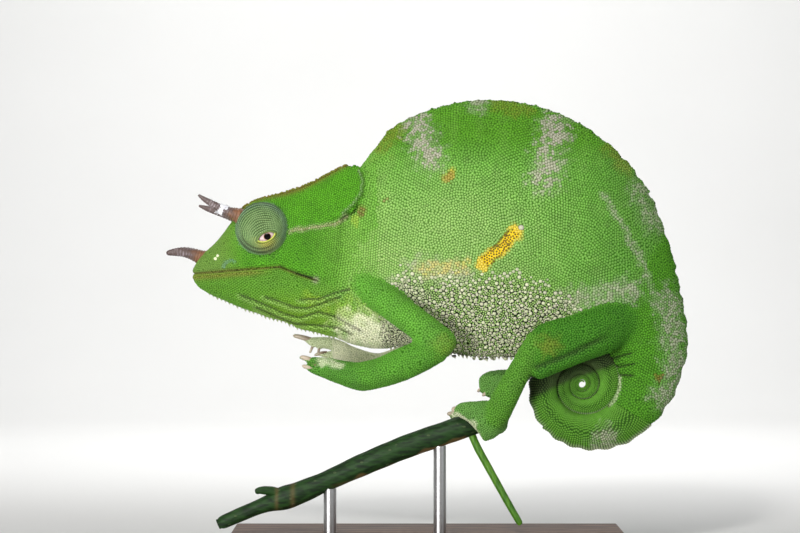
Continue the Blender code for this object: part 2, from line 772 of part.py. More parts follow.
def crest_swell(x, z):
    """Return how far the temporal crest lifts the side of the head."""
    line = np.array(TEMPORAL_CREST)
    if x < line[0, 0] or x > line[-1, 0]:
        return 0.0
    away = (z - np.interp(x, line[:, 0], line[:, 1])) / TEMPORAL_CREST_SPREAD
    return TEMPORAL_CREST_HEIGHT * math.exp(-away * away)


def head_point(top, low, half_width, crown, angle, share):
    """Return one point of the head's surface at an angle from its top."""
    middle = (top + low) / 2
    rise = (top - low) / 2
    peak = crown if math.cos(angle) > 0 else JAW_BELLY
    side = abs(math.sin(angle)) ** peak * half_width
    forward = max(0.0, 1.0 - 2.0 * share)
    ridge = math.exp(-((abs(angle) - CANTHUS_ANGLE) / CANTHUS_SPREAD) ** 2)
    hollow = math.exp(-(angle / CANTHUS_SPREAD) ** 2)
    point = middle + rise * math.cos(angle)
    side += crest_swell(point[0], point[2]) + CANTHUS_HEIGHT * ridge * forward
    point = point - rise / np.linalg.norm(rise) * FOREHEAD_HOLLOW * hollow * forward
    return point, side


def head_rings():
    """Return the rings of the head above the mouth line and of the jaw below it."""
    table = smooth_rows(HEAD_SECTIONS, HEAD_RINGS)
    upper = []
    lower = []
    for index, row in enumerate(table):
        top = np.array((row[0], 0.0, row[1]))
        low = np.array((row[2], 0.0, row[3]))
        half_width, crown = row[4:6]
        share = index / (HEAD_RINGS - 1)
        mouth = mouth_angle(top, low)
        band = LIP_BAND / half_width
        half = HEAD_STEPS_ABOVE_MOUTH // 2
        above = [mouth, mouth - band / 2, mouth - band] + list(
            np.linspace(mouth - band, 0.0, half - 1)[1:])
        half = HEAD_STEPS_BELOW_MOUTH // 2
        below = [mouth, mouth + band / 2, mouth + band] + list(
            np.linspace(mouth + band, math.pi, half - 1)[1:])
        up = (top - low) / np.linalg.norm(top - low)
        for angles, rings, drop in ((above, upper, 0.0), (below, lower, SEAM)):
            ring = []
            for order, angle in enumerate(angles):
                point, side = head_point(top, low, half_width, crown, angle, share)
                if order == 0:
                    side = max(side - LIP_TUCK, LIP_TUCK_LIMIT * side)
                    point = point - up * drop
                if order == 1:
                    side += LIP_SWELL
                ring.append(point + np.array((0.0, side, 0.0)))
            flipped = [point * np.array((1.0, -1.0, 1.0)) for point in ring[:-1]]
            rings.append(ring + flipped[::-1])
    return upper, lower


def build_head():
    """Make the head with its casque and lobes, and the lower jaw."""
    upper, lower = head_rings()
    for rings in (upper, lower):
        rings[-1] = shift_end(rings[-1], rings[-2], HALF_SEAM)
    head = mesh_object("head", upper, ANIMAL, GREEN)
    jaw = mesh_object("lower_jaw", lower, ANIMAL, GREEN)
    pieces = []
    for side, label in ((-1, "left"), (1, "right")):
        table = smooth_rows(LOBE_SECTIONS, LOBE_RINGS)
        loft = []
        for row in table:
            top = np.array((row[0], side * row[2], row[1]))
            low = np.array((row[3], side * row[5], row[4]))
            rise = (top - low) / 2
            out = np.cross(rise, (1.0, 0.0, 0.0))
            out = out / np.linalg.norm(out) * row[6]
            loft.append([(top + low) / 2 + rise * math.cos(a) + out * math.sin(a)
                         for a in turn(LOBE_STEPS)])
        pieces.append(mesh_object("lobe_" + label, loft, CUTTERS))
    casque = smooth_rows(HEAD_SECTIONS[CASQUE_EDGE_ROW:], CASQUE_EDGE_RINGS)
    ridge = [np.array((row[0], 0.0, row[1])) for row in casque]
    ups = np.tile((0.0, 0.0, 1.0), (len(ridge), 1))
    pieces += cone_row(ridge, ups, CASQUE_BEAD, "casque_bead")
    fuse(head, pieces, "MANIFOLD")
    throat_rows = smooth_rows(HEAD_SECTIONS[THROAT_ROW:], THROAT_RINGS)
    throat = [np.array((row[2], 0.0, row[3])) for row in throat_rows]
    downs = np.tile((0.1, 0.0, -1.0), (len(throat), 1))
    fuse(jaw, cone_row(throat, downs, GULAR_CONE, "gular_cone"))
    for side in (-1, 1):
        x, y, z = NOSTRIL_PLACE
        pit = sphere("nostril", (x, side * y, z), NOSTRIL_RADII, NOSTRIL_STEPS, NOSTRIL_RINGS,
                     CUTTERS)
        cut(head, pit)
        bpy.data.objects.remove(pit, do_unlink=True)
    return head, jaw


def sphere(name, centre, radii, steps, rings, collection, material=None, tilt=0.0):
    """Make an ellipsoid, turned by a tilt about Y."""
    bpy.ops.mesh.primitive_uv_sphere_add(segments=steps, ring_count=rings, radius=1.0)
    obj = bpy.context.active_object
    obj.name = name
    place = Matrix.Translation(Vector(centre) * MM)
    sized = Matrix.Diagonal((radii[0] * MM, radii[1] * MM, radii[2] * MM, 1.0))
    obj.data.transform(place @ Matrix.Rotation(tilt, 4, "Y") @ sized)
    for other in list(obj.users_collection):
        other.objects.unlink(obj)
    collection.objects.link(obj)
    if material:
        obj.data.materials.append(material)
    return obj


def turret_point(height, radius, angle, side):
    """Return a point of an eye turret, whose tip leans down and back."""
    lean = max(0.0, height / TURRET_HEIGHT) ** 2
    x = TURRET_CENTRE[0] + radius * math.cos(angle) + TURRET_LEAN[0] * lean
    z = TURRET_CENTRE[2] + radius * math.sin(angle) + TURRET_LEAN[1] * lean
    return np.array((x, side * (TURRET_CENTRE[1] + height), z))


def turret_rings(side):
    """Return the rings of one turret, from inside the head to near its tip."""
    rings = [[turret_point(-TURRET_BASE_DEPTH, TURRET_RADIUS, a, side)
              for a in turn(TURRET_STEPS)]]
    for k in range(TURRET_RINGS):
        rise = TURRET_CLOSING * (math.pi / 2) * k / (TURRET_RINGS - 1)
        height = TURRET_HEIGHT * math.sin(rise)
        radius = TURRET_RADIUS * math.cos(rise)
        rings.append([turret_point(height, radius, a, side) for a in turn(TURRET_STEPS)])
    return rings


def lid_sections(side):
    """Return the sections of the rolled rim round the lids' slit."""
    sections = []
    for a in turn(LID_STEPS):
        x = (LID_HALF_LENGTH + LID_ROLL) * math.cos(a)
        z = (LID_HALF_OPENING + LID_ROLL) * math.sin(a)
        bend = -side * LID_BEND * (x / LID_HALF_LENGTH) ** 2
        around = []
        for b in turn(LID_ROLL_STEPS):
            grow = LID_ROLL * math.cos(b) / (LID_HALF_OPENING + LID_ROLL)
            around.append((x * (1 + grow * LID_CORNER_GROWTH), bend + LID_ROLL * math.sin(b),
                           z * (1 + grow)))
        sections.append(around)
    return sections


def build_eyes(head):
    """Make the two turrets with their lids, and the eyes that look out of them."""
    turrets = []
    for side, label in ((-1, "left"), (1, "right")):
        turret = mesh_object("eye_turret_" + label, turret_rings(side), ANIMAL, TURRET)
        front = side * (TURRET_CENTRE[1] + TURRET_HEIGHT)
        x, z = LID_CENTRE
        lids = closed_ring("lids", lid_sections(side), (x, front - side * LID_LIFT, z), LID_TILT)
        fuse(turret, [lids])
        eye = sphere("eye_" + label, (x, front - side * EYE_SINK, z),
                     (LID_HALF_LENGTH - EYE_GAP, EYE_DEPTH / 2, LID_HALF_OPENING),
                     EYE_STEPS, EYE_RINGS, ANIMAL, EYE, -LID_TILT)
        eye.data.shade_smooth()
        wide, deep, high = SOCKET_GROWTH
        socket = sphere("socket", (x, front - side * (EYE_SINK - SOCKET_LIFT), z),
                        (LID_HALF_LENGTH + wide, EYE_DEPTH / 2 + deep, LID_HALF_OPENING + high),
                        SOCKET_STEPS, SOCKET_RINGS, CUTTERS, tilt=-LID_TILT)
        cut(turret, socket)
        bpy.data.objects.remove(socket, do_unlink=True)
        clear_of(turret, head)
        turrets.append(turret)
    return turrets


def closed_ring(name, sections, place, tilt):
    """Make a closed ring of sections, turned by a tilt about Y and moved to its place."""
    mesh = bmesh.new()
    rows = [[mesh.verts.new(point) for point in row] for row in sections]
    count = len(rows)
    for i in range(count):
        row = rows[i]
        following = rows[(i + 1) % count]
        for j in range(len(row)):
            k = (j + 1) % len(row)
            mesh.faces.new((row[j], row[k], following[k], following[j]))
    bmesh.ops.recalc_face_normals(mesh, faces=mesh.faces)
    data = bpy.data.meshes.new(name)
    mesh.to_mesh(data)
    mesh.free()
    turned = Matrix.Rotation(-tilt, 4, "Y")
    data.transform(Matrix.Translation(Vector(place) * MM) @ turned @ Matrix.Scale(MM, 4))
    obj = bpy.data.objects.new(name, data)
    CUTTERS.objects.link(obj)
    return obj


def brow_horn_rows(side):
    """Return the centre line of one brow horn; the right one grows lower."""
    rows = []
    last = len(BROW_HORN) - 1
    for index, (x, y, z, radius) in enumerate(BROW_HORN):
        share = (index / last) ** 1.5
        if side > 0:
            x += RIGHT_BROW_REACH * share
            z -= RIGHT_BROW_DROP * share
        rows.append((x, side * y, z, radius))
    return rows


def build_horns(head, turrets):
    """Make the snout horn and the two brow horns."""
    rostral = tube("horn_rostral", ROSTRAL_HORN, HORN_RINGS, HORN_STEPS, ANIMAL, HORN, rib=HORN_RIB)
    clear_of(rostral, head)
    horns = [rostral]
    for side, label in ((-1, "left"), (1, "right")):
        rows = brow_horn_rows(side)
        horn = tube("horn_brow_" + label, rows, HORN_RINGS, HORN_STEPS, ANIMAL, HORN, rib=HORN_RIB)
        clear_of(horn, head, *turrets)
        horns.append(horn)
    return horns


def build_trunk(head, jaw):
    """Make the neck, the torso and the tail's root from one table of sections."""
    rows = trunk_sections()
    last = len(rows) - 1
    table = smooth_rows(rows, last * RINGS_A_SECTION + 1)
    rings = []
    for row in table:
        top = np.array((row[0], 0.0, row[1]))
        low = np.array((row[2], 0.0, row[3]))
        rings.append(section(top, low, row[4], row[5], row[6], TRUNK_STEPS))
    neck_end = NECK_END * RINGS_A_SECTION
    torso_end = TORSO_END * RINGS_A_SECTION
    neck = trunk_piece("neck", rings[:neck_end + 1])
    torso = trunk_piece("torso", rings[neck_end:torso_end + 1])
    clear_of(neck, head, jaw)
    clear_of(torso, head)
    crest = back_cones(table[neck_end + 2:torso_end - 1], "back_cone")
    belly = table[BELLY_CREST_START:BELLY_CREST_END]
    low_line = [np.array((row[2], 0.0, row[3])) for row in belly]
    downs = np.tile((0.0, 0.0, -1.0), (len(low_line), 1))
    crest += cone_row(low_line, downs, BELLY_CONE, "belly_cone")
    fuse(torso, crest)
    return neck, torso, rings[torso_end:], table[torso_end:]


def back_cones(table, name):
    """Grow the low crest along the top points of a run of sections."""
    tops = np.array([(row[0], 0.0, row[1]) for row in table])
    lows = np.array([(row[2], 0.0, row[3]) for row in table])
    return cone_row(tops, tops - lows, BACK_CONE, name)


def trunk_piece(name, rings):
    """Loft one length of the trunk with both ends drawn back from the seam."""
    rings = list(rings)
    rings[0] = shift_end(rings[0], rings[1], HALF_SEAM)
    rings[-1] = shift_end(rings[-1], rings[-2], HALF_SEAM)
    return mesh_object(name, rings, ANIMAL, GREEN)


def build_tail(rump_rings, rump_table):
    """Make the lengths of the coiled tail, the first one fused to the rump's sections."""
    lengths = []
    start = 0.0
    for name, end, spacing, steps in TAIL_LENGTHS:
        count = max(3, round((end - start) / spacing) + 1)
        first = not lengths
        steps = TRUNK_STEPS if first else steps
        rings = []
        for index, angle in enumerate(np.linspace(start, end, count)):
            inside = 0 < index < count - 1
            scallop = SCALLOP_HEIGHT * (index % 2) if inside and angle < SCALLOP_END_ANGLE else 0.0
            rings.append(tail_section(angle, steps, scallop))
        if first:
            rings = list(rump_rings) + rings
        rings[0] = shift_end(rings[0], rings[1], HALF_SEAM)
        if end < TAIL_END_ANGLE:
            rings[-1] = shift_end(rings[-1], rings[-2], HALF_SEAM)
        length = mesh_object(name, rings, ANIMAL, GREEN)
        if first:
            fuse(length, back_cones(rump_table[1:], "rump_cone"))
        lengths.append(length)
        start = end
    return lengths


def add_toes(obj, tables):
    """Fuse toe bundles and claws to a hand or foot."""
    pieces = [toe("toe_%d" % index, rows, CUTTERS) for index, rows in enumerate(tables)]
    for index, (root, tip, radius) in enumerate(CLAWS[obj.name]):
        end = radius * CLAW_TAPER
        shaft = (1 - end / math.dist(root, tip)) * (np.array(tip) - root) + root
        pieces.append(tube("claw_%d" % index, ((*root, radius), (*shaft, end)),
                           CLAW_RINGS, CLAW_STEPS, CUTTERS, ends=end))
    fuse(obj, pieces)


def toe(name, rows, collection):
    """Loft one toe bundle from its table."""
    return flank_loft(name, rows, TOE_RINGS, TOE_STEPS, collection, GREEN)


def build_arms(neck, torso):
    """Make the arms and hands."""
    for label, upper_rows, fore_rows in (("left", UPPER_ARM_LEFT, FOREARM_LEFT),
                                         ("right", UPPER_ARM_RIGHT, FOREARM_RIGHT)):
        upper = tube("upper_arm_" + label, upper_rows, LIMB_RINGS, LIMB_STEPS, ANIMAL, GREEN,
                     ends=SHOULDER_DOME)
        clear_of(upper, torso, neck)
        fore = tube("forearm_" + label, fore_rows, LIMB_RINGS, LIMB_STEPS, ANIMAL, GREEN)
        clear_of(fore, upper, torso)
        if label == "left":
            hand = toe("hand_left", HAND_LEFT_PALM, ANIMAL)
            extra = (HAND_LEFT_UPPER_TOE, HAND_LEFT_LOWER_TOE, HAND_LEFT_INNER)
        else:
            hand = toe("hand_right", HAND_RIGHT_PALM, ANIMAL)
            extra = (HAND_RIGHT_INNER, HAND_RIGHT_OUTER)
        add_toes(hand, extra)
        clear_of(hand, fore)


def build_legs(torso, tail, stem):
    """Make the thighs, shins and feet."""
    for label, thigh_rows, shin_rows in (("left", THIGH_LEFT, SHIN_LEFT),
                                         ("right", THIGH_RIGHT, SHIN_RIGHT)):
        thigh = flank_loft("thigh_" + label, thigh_rows, LIMB_RINGS, THIGH_STEPS, ANIMAL, GREEN)
        clear_of(thigh, torso, tail[0], tail[2], tail[3])
        shin = tube("shin_" + label, shin_rows, LIMB_RINGS, LIMB_STEPS, ANIMAL, GREEN)
        clear_of(shin, thigh, torso)
        if label == "left":
            foot = toe("foot_left", FOOT_LEFT_HEEL, ANIMAL)
            extra = (FOOT_LEFT_PALM, FOOT_LEFT_INNER)
        else:
            foot = toe("foot_right", FOOT_RIGHT_FIST, ANIMAL)
            extra = (FOOT_RIGHT_THUMB,)
        add_toes(foot, extra)
        clear_of(foot, shin, stem)


def build_perch():
    """Make the cut stem with its stub, and the thin side twig."""
    stem = tube("perch_stem", STEM_LINE, STEM_RINGS, STEM_STEPS, ANIMAL, BARK)
    stub = tube("stub", STUB_LINE, STUB_RINGS, STUB_STEPS, CUTTERS)
    fuse(stem, [stub])
    twig = tube("perch_twig", TWIG_LINE, TWIG_RINGS, TWIG_STEPS, ANIMAL, TWIG)
    clear_of(twig, stem)
    return stem


def build_stand(stem):
    """Make the base and the two rods that carry the stem."""
    bpy.ops.mesh.primitive_cube_add(size=1.0)
    base = bpy.context.active_object
    base.name = "stand_base"
    base.data.transform(Matrix.Diagonal((BASE_LENGTH * MM, BASE_WIDTH * MM, BASE_THICK * MM, 1.0)))
    base.data.transform(Matrix.Translation((0.0, 0.0, BASE_THICK / 2 * MM)))
    mesh = bmesh.new()
    mesh.from_mesh(base.data)
    upright = [edge for edge in mesh.edges if abs(edge.verts[0].co.z - edge.verts[1].co.z) > MM]
    bmesh.ops.bevel(mesh, geom=upright, offset=BASE_CORNER * MM,
                    segments=BASE_CORNER_STEPS, profile=0.5, affect="EDGES")
    rim = [edge for edge in mesh.edges
           if min(vert.co.z for vert in edge.verts) > (BASE_THICK - BASE_EDGE) * MM]
    bmesh.ops.bevel(mesh, geom=rim, offset=BASE_EDGE * MM,
                    segments=BASE_EDGE_STEPS, profile=0.5, affect="EDGES")
    mesh.to_mesh(base.data)
    mesh.free()
    base.data.materials.append(WOOD)
    for other in list(base.users_collection):
        other.objects.unlink(base)
    ANIMAL.objects.link(base)
    for name, x, stem_z in RODS:
        low = BASE_THICK + SEAM
        rod = cylinder(name, (x, ROD_Y, low), (x, ROD_Y, stem_z), ROD_RADIUS)
        clear_of(rod, stem)
        rod.data.materials.append(STEEL)


def cylinder(name, low, high, radius):
    """Make an upright rod between two heights."""
    depth = (high[2] - low[2]) * MM
    bpy.ops.mesh.primitive_cylinder_add(vertices=ROD_SIDES, radius=radius * MM, depth=depth)
    obj = bpy.context.active_object
    obj.name = name
    middle = Vector((low[0], low[1], (low[2] + high[2]) / 2)) * MM
    obj.data.transform(Matrix.Translation(middle))
    for other in list(obj.users_collection):
        other.objects.unlink(obj)
    ANIMAL.objects.link(obj)
    return obj


clear_scene()
RANDOM = random.Random(RANDOM_SEED)
ANIMAL = new_collection("usambara_three_horned_chameleon")
CUTTERS = new_collection("cutters")
GREEN = make_material("green_scales")
TURRET = make_material("turret_scales")
EYE = make_material("eye_gloss")
HORN = make_material("horn_keratin")
BARK = make_material("stem_bark")
TWIG = make_material("green_twig")
WOOD = make_material("base_wood")
STEEL = make_material("rod_steel")

head_object, jaw_object = build_head()
turret_objects = build_eyes(head_object)
build_horns(head_object, turret_objects)
neck_object, torso_object, rump_rings, rump_table = build_trunk(head_object, jaw_object)
tail_objects = build_tail(rump_rings, rump_table)
stem_object = build_perch()
build_arms(neck_object, torso_object)
build_legs(torso_object, tail_objects, stem_object)
build_stand(stem_object)
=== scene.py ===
"""Looks of a life-size three-horned chameleon model that grips a cut stem on a plain stand.

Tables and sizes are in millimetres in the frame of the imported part: +X runs from the nose to
the rump, -Y is the animal's left side, +Z is up and the base stands on z = 0. Meshes are made
in metres. One skin stands for every node of flesh, and a coat of small scales grows over it.
"""
from __future__ import annotations

import logging
import math
from dataclasses import dataclass, field
from enum import Enum
from typing import Any, Callable, Iterable, Sequence

import bmesh
import bpy
import numpy as np
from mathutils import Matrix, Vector
from mathutils.bvhtree import BVHTree
from mathutils.kdtree import KDTree

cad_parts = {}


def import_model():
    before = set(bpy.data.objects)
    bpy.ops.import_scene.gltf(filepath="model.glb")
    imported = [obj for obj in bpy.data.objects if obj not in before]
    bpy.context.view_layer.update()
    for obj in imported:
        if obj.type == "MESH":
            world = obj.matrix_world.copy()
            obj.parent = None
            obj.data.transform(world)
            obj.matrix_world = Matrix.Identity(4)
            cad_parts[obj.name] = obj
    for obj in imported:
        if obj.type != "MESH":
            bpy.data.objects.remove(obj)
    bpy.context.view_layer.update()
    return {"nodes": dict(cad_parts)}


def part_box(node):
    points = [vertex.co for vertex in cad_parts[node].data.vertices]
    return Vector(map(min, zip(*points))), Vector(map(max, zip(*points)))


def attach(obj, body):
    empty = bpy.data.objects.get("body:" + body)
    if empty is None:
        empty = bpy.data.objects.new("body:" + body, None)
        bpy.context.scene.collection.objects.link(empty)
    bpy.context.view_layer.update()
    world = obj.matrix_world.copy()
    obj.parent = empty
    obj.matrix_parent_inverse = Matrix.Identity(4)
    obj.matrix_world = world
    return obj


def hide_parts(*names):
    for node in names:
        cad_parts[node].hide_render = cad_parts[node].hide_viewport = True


LOG = logging.getLogger("chameleon")
MM = 0.001
SEED = 41
BODY = "root"
UV_NAME = "OFBake"
SKIN_TRIANGLES = 160000

LIMBS = ("upper_arm", "forearm", "thigh", "shin")
HANDS = ("hand", "foot")
SIDES = ("left", "right")
TAIL = ("tail_bend", "tail_outer_coil", "tail_middle_coil", "tail_inner_coil", "tail_tip")
TURRETS = ("eye_turret_left", "eye_turret_right")
FLESH = (
    "head", "lower_jaw", *TURRETS, "neck", "torso", "tail_root", *TAIL,
    *(f"{part}_{side}" for part in LIMBS + HANDS for side in SIDES),
)

FUSED = tuple(name for name in FLESH if name not in TAIL)

Array = np.ndarray
Colour = tuple[float, float, float]
Place = tuple[float, float]


class Pigment(Enum):
    """A colour of the hide, as a linear base colour, in the order they lie over each other."""

    LEAF = (0.078, 0.36, 0.007)
    MOSS = (0.030, 0.17, 0.006)
    LIME = (0.30, 0.47, 0.012)
    PALE = (0.33, 0.52, 0.15)
    OLIVE = (0.20, 0.24, 0.018)
    ASH = (0.19, 0.27, 0.14)
    SKY = (0.14, 0.24, 0.32)
    LILAC = (0.52, 0.45, 0.42)
    CREAM = (0.84, 0.83, 0.62)
    SAFFRON = (0.80, 0.56, 0.02)
    RUST = (0.20, 0.085, 0.020)
    # Near black: darkens the brown spots of the yellow patch, and is mostly painted shade in slits,
    # folds, creases, seams, under the thigh and between scales.
    DUSK = (0.008, 0.013, 0.005)

    @property
    def label(self) -> str:
        """Name of the mesh attribute that holds this pigment's amount."""
        return "pigment_" + self.name.lower()


def unit(vectors: Array) -> Array:
    """Scale rows of vectors to length one."""
    return vectors / np.maximum(np.linalg.norm(vectors, axis=-1, keepdims=True), 1e-9)


def smooth_step(low: float | Array, high: float | Array, values: Array) -> Array:
    """Rise smoothly from 0 at low to 1 at high."""
    share = np.clip((values - low) / (high - low), 0.0, 1.0)
    return share * share * (3 - 2 * share)


def bell(values: Array, width: float) -> Array:
    """Return a bell curve that is 1 at zero."""
    return np.exp(-(values / width) ** 2)


def in_parts(owner: Array, *prefixes: str) -> Array:
    """Tell which numbers of flesh nodes belong to names that start like these."""
    chosen = [index for index, name in enumerate(FLESH) if name.startswith(prefixes)]
    return np.isin(owner, chosen)


def at_least(held: dict[Pigment, Array], pigment: Pigment, amount: Array) -> None:
    """Raise a pigment's amounts to at least these."""
    held[pigment] = np.maximum(held[pigment], amount)


def tree_of(points: Array) -> KDTree:
    """Build a search tree of points."""
    tree = KDTree(len(points))
    for index, point in enumerate(points.tolist()):
        tree.insert(point, index)
    tree.balance()
    return tree


def grid_faces(rings: int, sides: int, closed: bool = False, wrapped: bool = True) -> list:
    """Return the faces between rings of points.

    Args:
        rings: Number of rings.
        sides: Points in a ring.
        closed: Whether the last ring joins the first.
        wrapped: Whether the last point of a ring joins its first.

    Returns:
        Corners of each face.
    """
    faces = []
    for ring in range(rings if closed else rings - 1):
        low, high = ring * sides, (ring + 1) % rings * sides
        for side in range(sides if wrapped else sides - 1):
            beside = (side + 1) % sides
            faces.append((low + side, low + beside, high + beside, high + side))
    return faces


@dataclass(frozen=True)
class Ripple:
    """Soft random variation through space, made of crossing waves."""

    size: float
    seed: int
    waves: int = 8

    def __call__(self, points: Array) -> Array:
        """Return values spread about zero, mostly between -1 and 1."""
        rng = np.random.default_rng(self.seed)
        turns = unit(rng.normal(size=(self.waves, 3))) * (2 * math.pi / self.size)
        turns *= rng.uniform(0.6, 1.6, size=(self.waves, 1))
        starts = rng.uniform(0, 2 * math.pi, self.waves)
        return np.sin(points @ turns.T + starts).sum(axis=1) / math.sqrt(self.waves)


def beside_line(points: Array, line: Sequence[Place]) -> tuple[Array, Array]:
    """Measure points of the side view against a line of x, z places.

    Args:
        points: Rows of x, y, z.
        line: The line's corners.

    Returns:
        The distance from the line, positive above it, and the share of the way along it.
    """
    flat = points[:, (0, 2)]
    corners = np.array(line, dtype=float)
    spans = np.linalg.norm(np.diff(corners, axis=0), axis=1)
    starts = np.concatenate([[0.0], np.cumsum(spans)])
    best = np.full(len(points), np.inf)
    signed = np.zeros(len(points))
    share = np.zeros(len(points))
    for index, span in enumerate(spans):
        step = (corners[index + 1] - corners[index]) / span
        offset = flat - corners[index]
        along = np.clip(offset @ step, 0.0, span)
        away = offset - along[:, None] * step
        distance = np.linalg.norm(away, axis=1)
        nearer = distance < best
        above = np.where(step[0] * offset[:, 1] - step[1] * offset[:, 0] >= 0, 1.0, -1.0)
        best[nearer] = distance[nearer]
        signed[nearer] = (distance * above)[nearer]
        share[nearer] = ((starts[index] + along) / starts[-1])[nearer]
    return signed, share


class Signal:
    """A value socket of a shader that takes part in arithmetic."""

    def __init__(self, shader: "Shader", socket: bpy.types.NodeSocket) -> None:
        """Remember the shader and the socket."""
        self.shader = shader
        self.socket = socket

    def _math(self, operation: str, *values: Any) -> "Signal":
        """Add one Math node fed by the given values."""
        node = self.shader.node("ShaderNodeMath", {"operation": operation},
                                dict(enumerate(values)))
        return Signal(self.shader, node.outputs[0])

    def __add__(self, other: Any) -> "Signal":
        """Add."""
        return self._math("ADD", self, other)

    __radd__ = __add__

    def __mul__(self, other: Any) -> "Signal":
        """Multiply."""
        return self._math("MULTIPLY", self, other)

    __rmul__ = __mul__

    def __sub__(self, other: Any) -> "Signal":
        """Subtract."""
        return self._math("SUBTRACT", self, other)

    def __rsub__(self, other: Any) -> "Signal":
        """Subtract this from a number."""
        return self._math("SUBTRACT", other, self)

    def __pow__(self, other: Any) -> "Signal":
        """Raise to a power."""
        return self._math("POWER", self, other)

    def clamped(self) -> "Signal":
        """Keep within 0 and 1."""
        return self._math("MINIMUM", self._math("MAXIMUM", self, 0.0), 1.0)

    def sine(self) -> "Signal":
        """Return the sine."""
        return self._math("SINE", self)

    def step(self, low: float, high: float) -> "Signal":
        """Rise smoothly from 0 at low to 1 at high."""
        node = self.shader.node("ShaderNodeMapRange", {"interpolation_type": "SMOOTHSTEP"},
                                {"Value": self, "From Min": low, "From Max": high})
        return Signal(self.shader, node.outputs["Result"])


class Graph:
    """A node tree, with one way to add nodes and feed their sockets."""

    def __init__(self, tree: bpy.types.NodeTree) -> None:
        """Remember the tree."""
        self.tree = tree

    def feed(self, socket: bpy.types.NodeSocket, value: Any) -> None:
        """Link a signal or a socket to a socket, or set the socket's own value."""
        if isinstance(value, Signal):
            value = value.socket
        if isinstance(value, bpy.types.NodeSocket):
            self.tree.links.new(value, socket)
        elif isinstance(value, tuple) and len(value) == 3 and socket.type == "RGBA":
            socket.default_value = (*value, 1.0)
        else:
            socket.default_value = value

    def node(self, kind: str, settings: dict[str, Any] | None = None,
             inputs: dict[Any, Any] | None = None) -> bpy.types.Node:
        """Add a node.

        Args:
            kind: The node's type.
            settings: Its properties, set first.
            inputs: Values or links of its sockets, by name or number.

        Returns:
            The node.
        """
        node = self.tree.nodes.new(kind)
        for key, value in (settings or {}).items():
            setattr(node, key, value)
        for key, value in (inputs or {}).items():
            self.feed(node.inputs[key], value)
        return node


class Shader(Graph):
    """A new material with one Principled shader, and short ways to add nodes to it."""

    def __init__(self, name: str) -> None:
        """Make the material and find its shader."""
        self.material = bpy.data.materials.new(name)
        self.material.use_nodes = True
        super().__init__(self.material.node_tree)
        self.surface = self.tree.nodes["Principled BSDF"]
        self._place: bpy.types.NodeSocket | None = None

    def place(self) -> bpy.types.NodeSocket:
        """Return the object coordinates, in metres."""
        if self._place is None:
            self._place = self.node("ShaderNodeTexCoord").outputs["Object"]
        return self._place

    def axis(self, name: str) -> Signal:
        """Return one of X, Y and Z of the object coordinates, in millimetres."""
        split = self.node("ShaderNodeSeparateXYZ", inputs={0: self.place()})
        return Signal(self, split.outputs[name]) * (1 / MM)

    def amount(self, attribute: str) -> Signal:
        """Read a number that the mesh carries."""
        node = self.node("ShaderNodeAttribute", {"attribute_name": attribute})
        return Signal(self, node.outputs["Fac"])

    def stretched(self, stretch: Colour) -> bpy.types.NodeSocket:
        """Return the object coordinates multiplied axis by axis."""
        node = self.node("ShaderNodeMapping", inputs={"Vector": self.place(), "Scale": stretch})
        return node.outputs["Vector"]

    def noise(self, size: float, detail: float = 2.0, stretch: Colour = (1.0, 1.0, 1.0)) -> Signal:
        """Return noise of a feature size in millimetres."""
        node = self.node("ShaderNodeTexNoise", {"noise_dimensions": "3D"},
                         {"Vector": self.stretched(stretch), "Scale": 1 / (size * MM),
                          "Detail": detail})
        return Signal(self, node.outputs["Fac"])

    def cells(self, size: float, stretch: Colour = (1.0, 1.0, 1.0)) -> Signal:
        """Return the distance from the nearest of scattered points, 0 to about 1."""
        node = self.node("ShaderNodeTexVoronoi", {"feature": "F1"},
                         {"Vector": self.stretched(stretch), "Scale": 1 / (size * MM)})
        return Signal(self, node.outputs["Distance"])

    def mix(self, first: Any, second: Any, share: Any, way: str = "MIX") -> bpy.types.NodeSocket:
        """Mix two colours."""
        node = self.node("ShaderNodeMix", {"data_type": "RGBA", "blend_type": way})
        self.feed(node.inputs[0], share)
        self.feed(node.inputs[6], first)
        self.feed(node.inputs[7], second)
        return node.outputs[2]

    def bump(self, height: Any, depth: float, strength: float = 1.0) -> bpy.types.NodeSocket:
        """Turn a height signal into a bumped normal, for a depth in millimetres."""
        node = self.node("ShaderNodeBump", inputs={"Strength": strength, "Distance": depth * MM,
                                                   "Height": height})
        return node.outputs["Normal"]

    def dress(self, **values: Any) -> bpy.types.Material:
        """Set sockets of the Principled shader, spaces written as underscores."""
        for key, value in values.items():
            self.feed(self.surface.inputs[key.replace("_", " ")], value)
        return self.material


def hide_colour(shader: Shader) -> bpy.types.NodeSocket:
    """Lay the pigments that a mesh carries over each other."""
    colour: Any = shader.mix(Pigment.LEAF.value, Pigment.MOSS.value,
                             shader.noise(6.0, 3.0).step(0.45, 0.8) * 0.45)
    for pigment in list(Pigment)[1:]:
        colour = shader.mix(colour, pigment.value, shader.amount(pigment.label))
    return colour


@dataclass(frozen=True)
class SkinFinish:
    """The skin that shows between the scales: the same markings, darkened as painted shade."""

    # Painted shade: how much the skin between the scales is darkened.
    shade: Colour = (0.52, 0.57, 0.42)
    roughness: float = 0.6
    gloss: float = 0.15

    def material(self) -> bpy.types.Material:
        """Build the finish."""
        shader = Shader("skin between the scales")
        # Painted shade between the scales, left off under the yellow patch and near black where the
        # gaps are painted deep.
        deep = 1 - shader.amount(Pigment.SAFFRON.label).step(0.4, 0.8)
        base = shader.mix(hide_colour(shader), self.shade, deep, "MULTIPLY")
        base = shader.mix(base, Pigment.DUSK.value, shader.amount("gap_depth"))
        normal = shader.bump(shader.cells(0.45), 0.06)
        return shader.dress(Base_Color=base, Roughness=self.roughness, Normal=normal,
                            Specular_IOR_Level=self.gloss)


